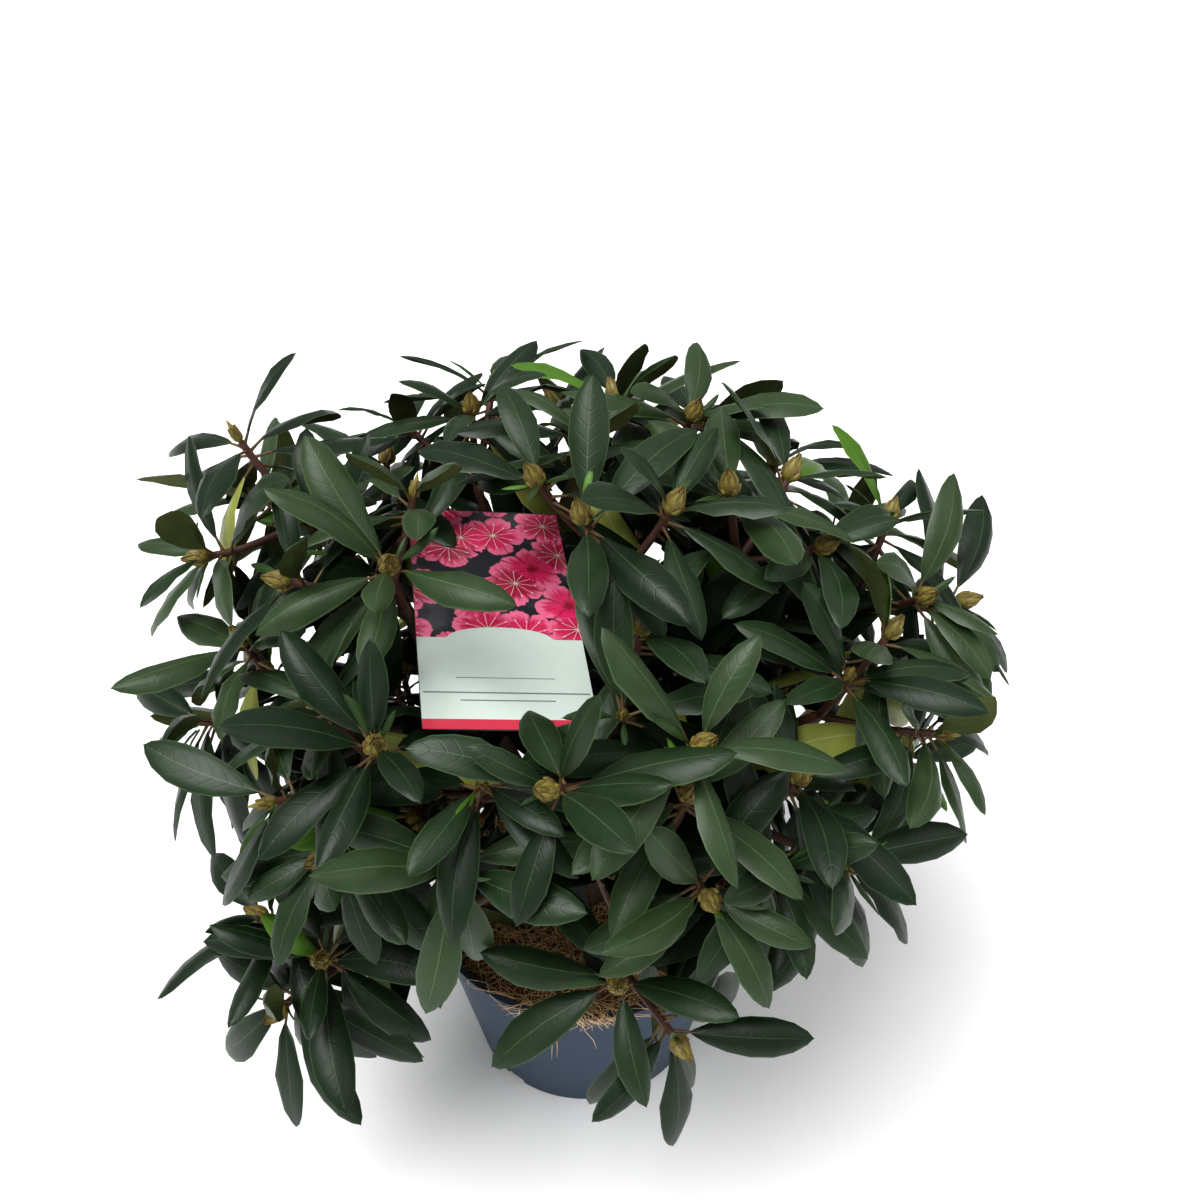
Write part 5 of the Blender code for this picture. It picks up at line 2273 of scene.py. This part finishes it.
@dataclass
class RootBall:
    """The coir that fills the pot: a lumpy dome under a mat of fibres, some of them over the rim."""

    effects: Effects
    edge: float = 0.156
    top: float = 0.166
    radius: float = 0.1372
    flat: float = 0.028
    inside: float = 0.0035
    rim: float = 0.143
    rim_gap: float = 0.0012
    foot_radius: float = 0.106
    foot_height: float = 0.0045
    calm: float = 0.006
    seed: int = 41
    fibres: int = 3000
    tone_weights: tuple[int, int, int] = (3, 5, 3)
    steps: int = 6
    curl: float = 0.32
    wander: float = 0.18
    lengths: Span = (0.012, 0.045)
    humps: Span = (0.0, 0.0055)
    radii: Span = (0.00022, 0.00045)
    bed: float = 0.0012
    loose: float = 0.0008
    hanging: int = 100
    hanging_radii: Span = (0.00018, 0.00036)
    front: float = -94.0
    front_share: float = 0.7
    front_spread: float = 0.17
    long_share: float = 0.08
    long_drops: Span = (0.025, 0.050)
    drops: Span = (-0.004, 0.006)
    sway: float = 0.24
    crests: Span = (0.167, 0.172)
    inward: Span = (0.010, 0.030)
    hanging_wander: float = 0.018

    def dome(self, radius: float) -> float:
        """Gives the dome's height at a radius."""
        share = min(max((radius - self.flat) / (self.radius - self.flat), 0), 1)
        return self.top - (self.top - self.edge) * share**1.5

    def lump(self, x: float, y: float) -> float:
        """Gives how far a lump stands out at a place."""
        spot = Vector((x, y, 0))
        return 0.0030 * noise.noise(spot * 60) + 0.0016 * noise.noise(spot * 190)

    def build(self) -> None:
        """Models the ball, then lays its fibres in three tones."""
        self.ball()
        tones = (
            GrainFinish("coir_straw", (0.900, 0.640, 0.370), 700, 0.8, 0.85, 0.0001),
            GrainFinish("coir_brown", (0.680, 0.430, 0.215), 700, 0.8, 0.9, 0.0001),
            GrainFinish("coir_dark", (0.330, 0.185, 0.090), 700, 0.8, 0.95, 0.0001),
        )
        sheaf = Sheaf()
        rng = random.Random(self.seed)
        for _ in range(self.fibres):
            self.lay(sheaf, rng, rng.choices((0, 1, 2), self.tone_weights)[0])
        for _ in range(self.hanging):
            self.hang(sheaf, rng, rng.choice((0, 0, 1)))
        dress(sheaf.build("coir_fibres", 80), "coir", (), *[tone.build(self.effects) for tone in tones])

    def ball(self) -> None:
        """Models the ball from a disc, lifted into its lumpy dome and closed below."""
        ball = add_primitive(
            bpy.ops.mesh.primitive_circle_add,
            "coir_ball",
            vertices=96,
            radius=self.radius,
            fill_type="TRIFAN",
            location=(0, 0, 0),
        )
        with edit_mode(ball):
            bpy.ops.mesh.select_all(action="SELECT")
            bpy.ops.mesh.subdivide(number_cuts=12)
            bpy.ops.mesh.extrude_region_move(TRANSFORM_OT_translate={"value": (0, 0, self.edge)})
            pick(ball, "VERT", lambda vertex: vertex.co.z < 0.001)
            narrow = (self.foot_radius - self.inside) / self.radius
            bpy.ops.transform.resize(value=(narrow, narrow, 1), center_override=(0, 0, 0))
            bpy.ops.transform.translate(value=(0, 0, self.foot_height))
            bpy.ops.mesh.select_all(action="SELECT")
            bpy.ops.mesh.normals_make_consistent(inside=False)
        for vertex in ball.data.vertices:
            x, y, z = vertex.co
            if z > self.edge - 0.001:
                reach = math.hypot(x, y)
                calm = min(1, (self.radius - reach) / self.calm)
                vertex.co.z = self.dome(reach) + self.lump(x, y) * calm - 0.001
        finish = GrainFinish("coir_ground", (0.120, 0.068, 0.038), 240, 1.4, 0.95, 0.002)
        dress(settle(ball, 60), "coir", ["root_ball"], finish.build(self.effects))

    def lay(self, sheaf: Sheaf, rng: random.Random, tone: int) -> None:
        """Lays one curled fibre on the dome.

        Args:
            sheaf: The sheaf of fibres.
            rng: Random numbers.
            tone: Its material slot.
        """
        reach = self.radius * math.sqrt(rng.uniform(0.02, 0.97))
        turn = rng.uniform(0, 2 * math.pi)
        x, y = reach * math.cos(turn), reach * math.sin(turn)
        way = rng.uniform(0, 2 * math.pi)
        curl = rng.gauss(0, self.curl)
        length = rng.uniform(*self.lengths)
        hump = rng.uniform(*self.humps)
        steps = self.steps
        line = []
        for step in range(steps + 1):
            bound = math.hypot(x, y)
            if bound > self.radius - 0.001:
                x, y = x * (self.radius - 0.001) / bound, y * (self.radius - 0.001) / bound
            share = step / steps
            height = self.dome(math.hypot(x, y)) + self.lump(x, y) + hump * math.sin(math.pi * share)
            line.append(Vector((x, y, height - self.bed + rng.uniform(0, self.loose))))
            way += curl + rng.gauss(0, self.wander)
            x += math.cos(way) * length / steps
            y += math.sin(way) * length / steps
        self.add_strand(sheaf, line, rng.uniform(*self.radii), tone)

    def hang(self, sheaf: Sheaf, rng: random.Random, tone: int) -> None:
        """Tangles one loose fibre over the rim, most of them at the front, a few of them long.

        Args:
            sheaf: The sheaf of fibres.
            rng: Random numbers.
            tone: Its material slot.
        """
        if rng.random() < self.front_share:
            turn = rng.gauss(math.radians(self.front), self.front_spread)
        else:
            turn = rng.uniform(0, 2 * math.pi)
        drop = rng.uniform(*(self.long_drops if rng.random() < self.long_share else self.drops))
        sway = rng.gauss(0, self.sway)
        crest = rng.uniform(*self.crests)
        start = self.rim - rng.uniform(*self.inward)
        wander = 0.0
        line = []
        for share in np.linspace(0, 1, 8):
            over = min(1, share * 1.8)
            reach = start + (self.rim + self.rim_gap - start) * over
            height = self.edge + (crest - self.edge) * math.sin(min(1, share * 1.9) * math.pi * 0.55)
            height -= (crest - self.edge + drop) * max(0, share - 0.5) * 2
            wander += rng.gauss(0, self.hanging_wander)
            angle = turn + sway * share + wander
            line.append(Vector((reach * math.cos(angle), reach * math.sin(angle), height)))
        self.add_strand(sheaf, line, rng.uniform(*self.hanging_radii), tone)

    @staticmethod
    def add_strand(sheaf: Sheaf, line: list[Vector], radius: float, tone: int) -> None:
        """Adds one strand to the sheaf, as a thin three-sided tube."""
        sheaf.add(*tube(line, [radius] * (len(line) - 1) + [radius * 0.4], 3), tone)


@dataclass
class Label:
    """The plant label: a plastic card with a plain panel under a generic print of blossoms, on its stake."""

    card: LabelCard
    effects: Effects
    rows: int = 17
    corner: float = 0.004
    arch: float = 0.012
    arch_share: float = 0.62
    shoulder: float = 0.088
    strip: float = 0.0095
    side_margin: float = 0.0004
    foot_margin: float = 0.0006
    head_margin: float = 0.0015
    rules: tuple[Triple, ...] = ((0.0475, 0.036, 0.0007), (0.033, 0.060, 0.0013), (0.026, 0.034, 0.0011))
    layer: float = 0.00012
    stake_width: float = 0.014
    stake_thick: float = 0.0030
    stake_sink: float = 0.030
    stake_short: float = 0.0016
    stake_aside: float = 0.018
    stake_foot: Vector = Vector((0.016, -0.096, 0.130))
    stake_border: float = 0.0032
    stake_groove: float = 0.0008

    def build(self) -> None:
        """Builds the card, its stake and each layer of its print."""
        self.paper()
        self.stake()
        self.print_panel()
        self.print_picture()

    def sheet(
        self, sheaf: Sheaf, columns: np.ndarray, low: Callable, high: Callable,
        lift: float, thick: float, slot: int = 0
    ) -> None:
        """Adds a layer that follows the card between two outlines.

        Args:
            sheaf: The sheaf to add it to.
            columns: Metres aside at each column.
            low: Gives the lower edge at a column.
            high: Gives the upper edge at a column.
            lift: The height of its face over the card's middle surface.
            thick: How thick it is.
            slot: Its material slot.
        """
        points = []
        for level in (lift, lift - thick):
            for share in np.linspace(0, 1, self.rows):
                for aside in columns:
                    ahead = low(aside) + (high(aside) - low(aside)) * share
                    points.append(tuple(self.card.at(float(aside), float(ahead), level)))
        top, border = grid_faces(self.rows, len(columns))
        deep = self.rows * len(columns)
        rim = np.concatenate([border, border[:, ::-1] + deep], 1)
        sheaf.add(np.array(points), {4: np.concatenate([top, top[:, ::-1] + deep, rim])}, slot)

    def paper(self) -> None:
        """Builds the card itself, a thin plate with rounded corners."""
        half, corner = self.card.width / 2, self.corner
        columns = np.concatenate(
            [
                -half + corner * (1 - np.cos(np.linspace(0, np.pi / 2, 5))),
                np.linspace(-half + 2 * corner, half - 2 * corner, 9),
                half - corner * (1 - np.cos(np.linspace(np.pi / 2, 0, 5))),
            ]
        )

        def inset(aside: float) -> float:
            """Gives how far the rounded corner draws an end in."""
            over = max(0.0, abs(aside) - (half - corner))
            return corner - math.sqrt(max(corner**2 - over**2, 0))

        thick = self.card.thick
        sheaf = Sheaf()
        self.sheet(sheaf, columns, inset, lambda aside: self.card.length - inset(aside), thick / 2, thick)
        card = sheaf.build("label_card", 40)
        finish = PlasticFinish("label_slate", (0.030, 0.032, 0.040), (0.10, 0.10, 0.11), 0.5, 0.30)
        dress(card, "label", ["plant_label"], finish.build(self.effects))

    def stake(self) -> None:
        """Models the stake from a cube, set from inside the card's foot down into the coir."""
        heading = (self.card.line[1] - self.card.line[0]).normalized()
        top = self.card.foot + heading * self.stake_sink + self.card.across * self.stake_aside
        foot = self.stake_foot
        lean = (top - foot).normalized()
        top -= lean * self.stake_short
        middle = (top + foot) / 2
        stake = add_primitive(bpy.ops.mesh.primitive_cube_add, "label_stake", size=1, location=middle)
        stake.scale = (self.stake_width, self.stake_thick, (top - foot).length)
        settle(stake)
        with edit_mode(stake):
            pick(stake, "FACE", lambda face: face.normal.y < -0.9)
            bpy.ops.mesh.inset(thickness=self.stake_border)
            bpy.ops.transform.translate(value=(0, self.stake_groove, 0))
        turn = UP.rotation_difference(lean).to_matrix().to_4x4()
        stake.data.transform(Matrix.Translation(middle) @ turn @ Matrix.Translation(-middle))
        apply_modifier(stake, "BEVEL", width=0.0005, segments=2, limit_method="ANGLE")
        finish = PlasticFinish("stake_plastic", (0.008, 0.011, 0.010), (0.03, 0.03, 0.025), 0.3, 0.5, 0.1)
        dress(settle(stake), "label", (), finish.build(self.effects))

    def panel_top(self, aside: float) -> float:
        """Gives the panel's upper edge: a low arch between two shoulders."""
        share = aside / (self.card.width / 2)
        return self.shoulder + self.arch * max(0.0, 1 - (share / self.arch_share) ** 2) ** 0.5

    def print_columns(self) -> np.ndarray:
        """Gives the columns of what is printed over the card's whole width."""
        half = self.card.width / 2 - self.side_margin
        return np.linspace(-half, half, 41)

    def print_panel(self) -> None:
        """Prints the plain panel, the strip at its foot and a few ruled lines."""
        columns, layer = self.print_columns(), self.layer
        face = self.card.thick / 2 + layer
        sheaf = Sheaf()
        self.sheet(sheaf, columns, lambda aside: self.strip, self.panel_top, face, layer)
        self.sheet(sheaf, columns, lambda aside: self.foot_margin, lambda aside: self.strip, face, layer, 1)
        for ahead, width, tall in self.rules:
            ruled = np.linspace(-width, width, 13)
            self.sheet(sheaf, ruled, lambda aside: ahead, lambda aside: ahead + tall, face + layer, layer, 2)
        mint = PlasticFinish("label_mint", (0.660, 0.755, 0.690), (0.70, 0.76, 0.70), 0.12, 0.32)
        rose = PlasticFinish("label_rose", (0.620, 0.045, 0.085), (0.70, 0.20, 0.24), 0.15, 0.32)
        grey = PlasticFinish("label_grey", (0.200, 0.260, 0.230), (0.30, 0.34, 0.32), 0.15, 0.35)
        finishes = [finish.build(self.effects) for finish in (mint, rose, grey)]
        dress(sheaf.build("label_panel", 40), "label", (), *finishes)

    def print_picture(self) -> None:
        """Prints generic blossoms on slate over the upper part."""
        card = self.card
        sheaf = Sheaf()
        high = card.length - self.head_margin
        face = card.thick / 2 + self.layer
        self.sheet(sheaf, self.print_columns(), self.panel_top, lambda aside: high, face, self.layer)
        picture = sheaf.build("label_picture", 40)
        mesh = picture.data
        spots = []
        for vertex in mesh.vertices:
            offset = vertex.co - card.foot
            spots.append((offset.dot(card.across) / card.width, offset.dot(card.along) / card.width))
        corners = np.empty(len(mesh.loops), np.int32)
        mesh.loops.foreach_get("vertex_index", corners)
        layer = mesh.uv_layers.new(name=PRINT_MAP, do_init=False)
        layer.uv.foreach_set("vector", np.array(spots, np.float32)[corners].ravel())
        petal, edge = (0.80, 0.035, 0.165), (0.93, 0.20, 0.36)
        throat, ground = (0.30, 0.006, 0.030), (0.022, 0.024, 0.032)
        finish = BlossomFinish("label_print", petal, edge, throat, ground)
        dress(picture, "label", (), finish.build(self.effects))


@dataclass
class Studio:
    """The plain pale floor, the soft light and the camera."""

    effects: Effects
    floor_size: float = 40.0
    camera_place: Triple = (0.014, -0.822, 1.05)
    camera_pitch: float = 34.0
    lens: float = 37.59
    sensor: float = 36.0
    sky: float = 0.62
    horizon: float = 0.25
    zenith: float = 0.8
    key: float = 2.70
    key_place: Triple = (-0.55, -0.60, 2.0)
    fill: float = 0.35
    fill_place: Triple = (1.3, -0.5, 1.6)
    softness: float = 40.0
    heart: Vector = Vector((0, 0, 0.35))

    def build(self) -> None:
        """Lays the floor, then sets the sky, the lights and the camera."""
        floor = add_primitive(bpy.ops.mesh.primitive_plane_add, "floor", size=self.floor_size)
        floor.data.materials.append(FloorFinish("studio_floor").build(self.effects))
        self.backdrop()
        self.light("key", self.key_place, self.key)
        self.light("fill", self.fill_place, self.fill)
        self.aim_camera()

    def backdrop(self) -> None:
        """Lights the sky from horizon to zenith, and shows it white to the camera."""
        world = bpy.data.worlds.new("studio")
        world.use_nodes = True
        sky = Graph(world.node_tree)
        rise = sky.split(sky.add("TexCoord").outputs["Generated"])[2]
        background = world.node_tree.nodes["Background"]
        background.inputs["Color"].default_value = (1, 1, 1, 1)
        glow = sky.ramp(rise, 0, self.zenith, self.horizon, self.sky)
        seen = sky.add("LightPath").outputs["Is Camera Ray"]
        glow = sky.math("MULTIPLY", glow, sky.math("SUBTRACT", 1, seen))
        sky.feed(background.inputs["Strength"], sky.math("ADD", glow, seen))
        bpy.context.scene.world = world
        bpy.context.scene.view_settings.view_transform = "Standard"
        bpy.context.scene.view_settings.look = "Medium High Contrast"

    def aim_camera(self) -> None:
        """Places the camera before the plant, a little above it."""
        eye = bpy.data.cameras.new("camera")
        eye.lens = self.lens
        eye.sensor_width = self.sensor
        camera = bpy.data.objects.new("camera", eye)
        camera.location = self.camera_place
        camera.rotation_euler = (math.radians(90 - self.camera_pitch), 0, 0)
        bpy.context.scene.collection.objects.link(camera)
        bpy.context.scene.camera = camera

    def light(self, name: str, place: Triple, power: float) -> None:
        """Adds a broad soft light, as even over the floor as a large overhead panel.

        Args:
            name: Its name.
            place: The side that it shines from.
            power: Its power in watts a square metre.
        """
        lamp = bpy.data.lights.new(name, "SUN")
        lamp.angle = math.radians(self.softness)
        lamp.energy = power
        made = bpy.data.objects.new(name, lamp)
        made.location = place
        aim = self.heart - Vector(place)
        made.rotation_euler = aim.to_track_quat("-Z", "Y").to_euler()
        bpy.context.scene.collection.objects.link(made)


def write_sizes() -> None:
    """Updates the view layer."""
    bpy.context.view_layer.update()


def main() -> None:
    """Builds the studio, the pot, the coir, the wood, the label and the crown, in that order."""
    logging.basicConfig(level=logging.INFO, format="%(name)s %(message)s")
    effects = Effects()
    routes = limb_routes()
    card = LabelCard()
    Studio(effects).build()
    Pot(effects).build()
    RootBall(effects).build()
    Wood(routes, effects).build()
    Label(card, effects).build()
    crown = Crown(routes, card)
    crown.grow()
    Foliage(crown, effects).build()
    write_sizes()


if __name__ == "__main__":
    main()
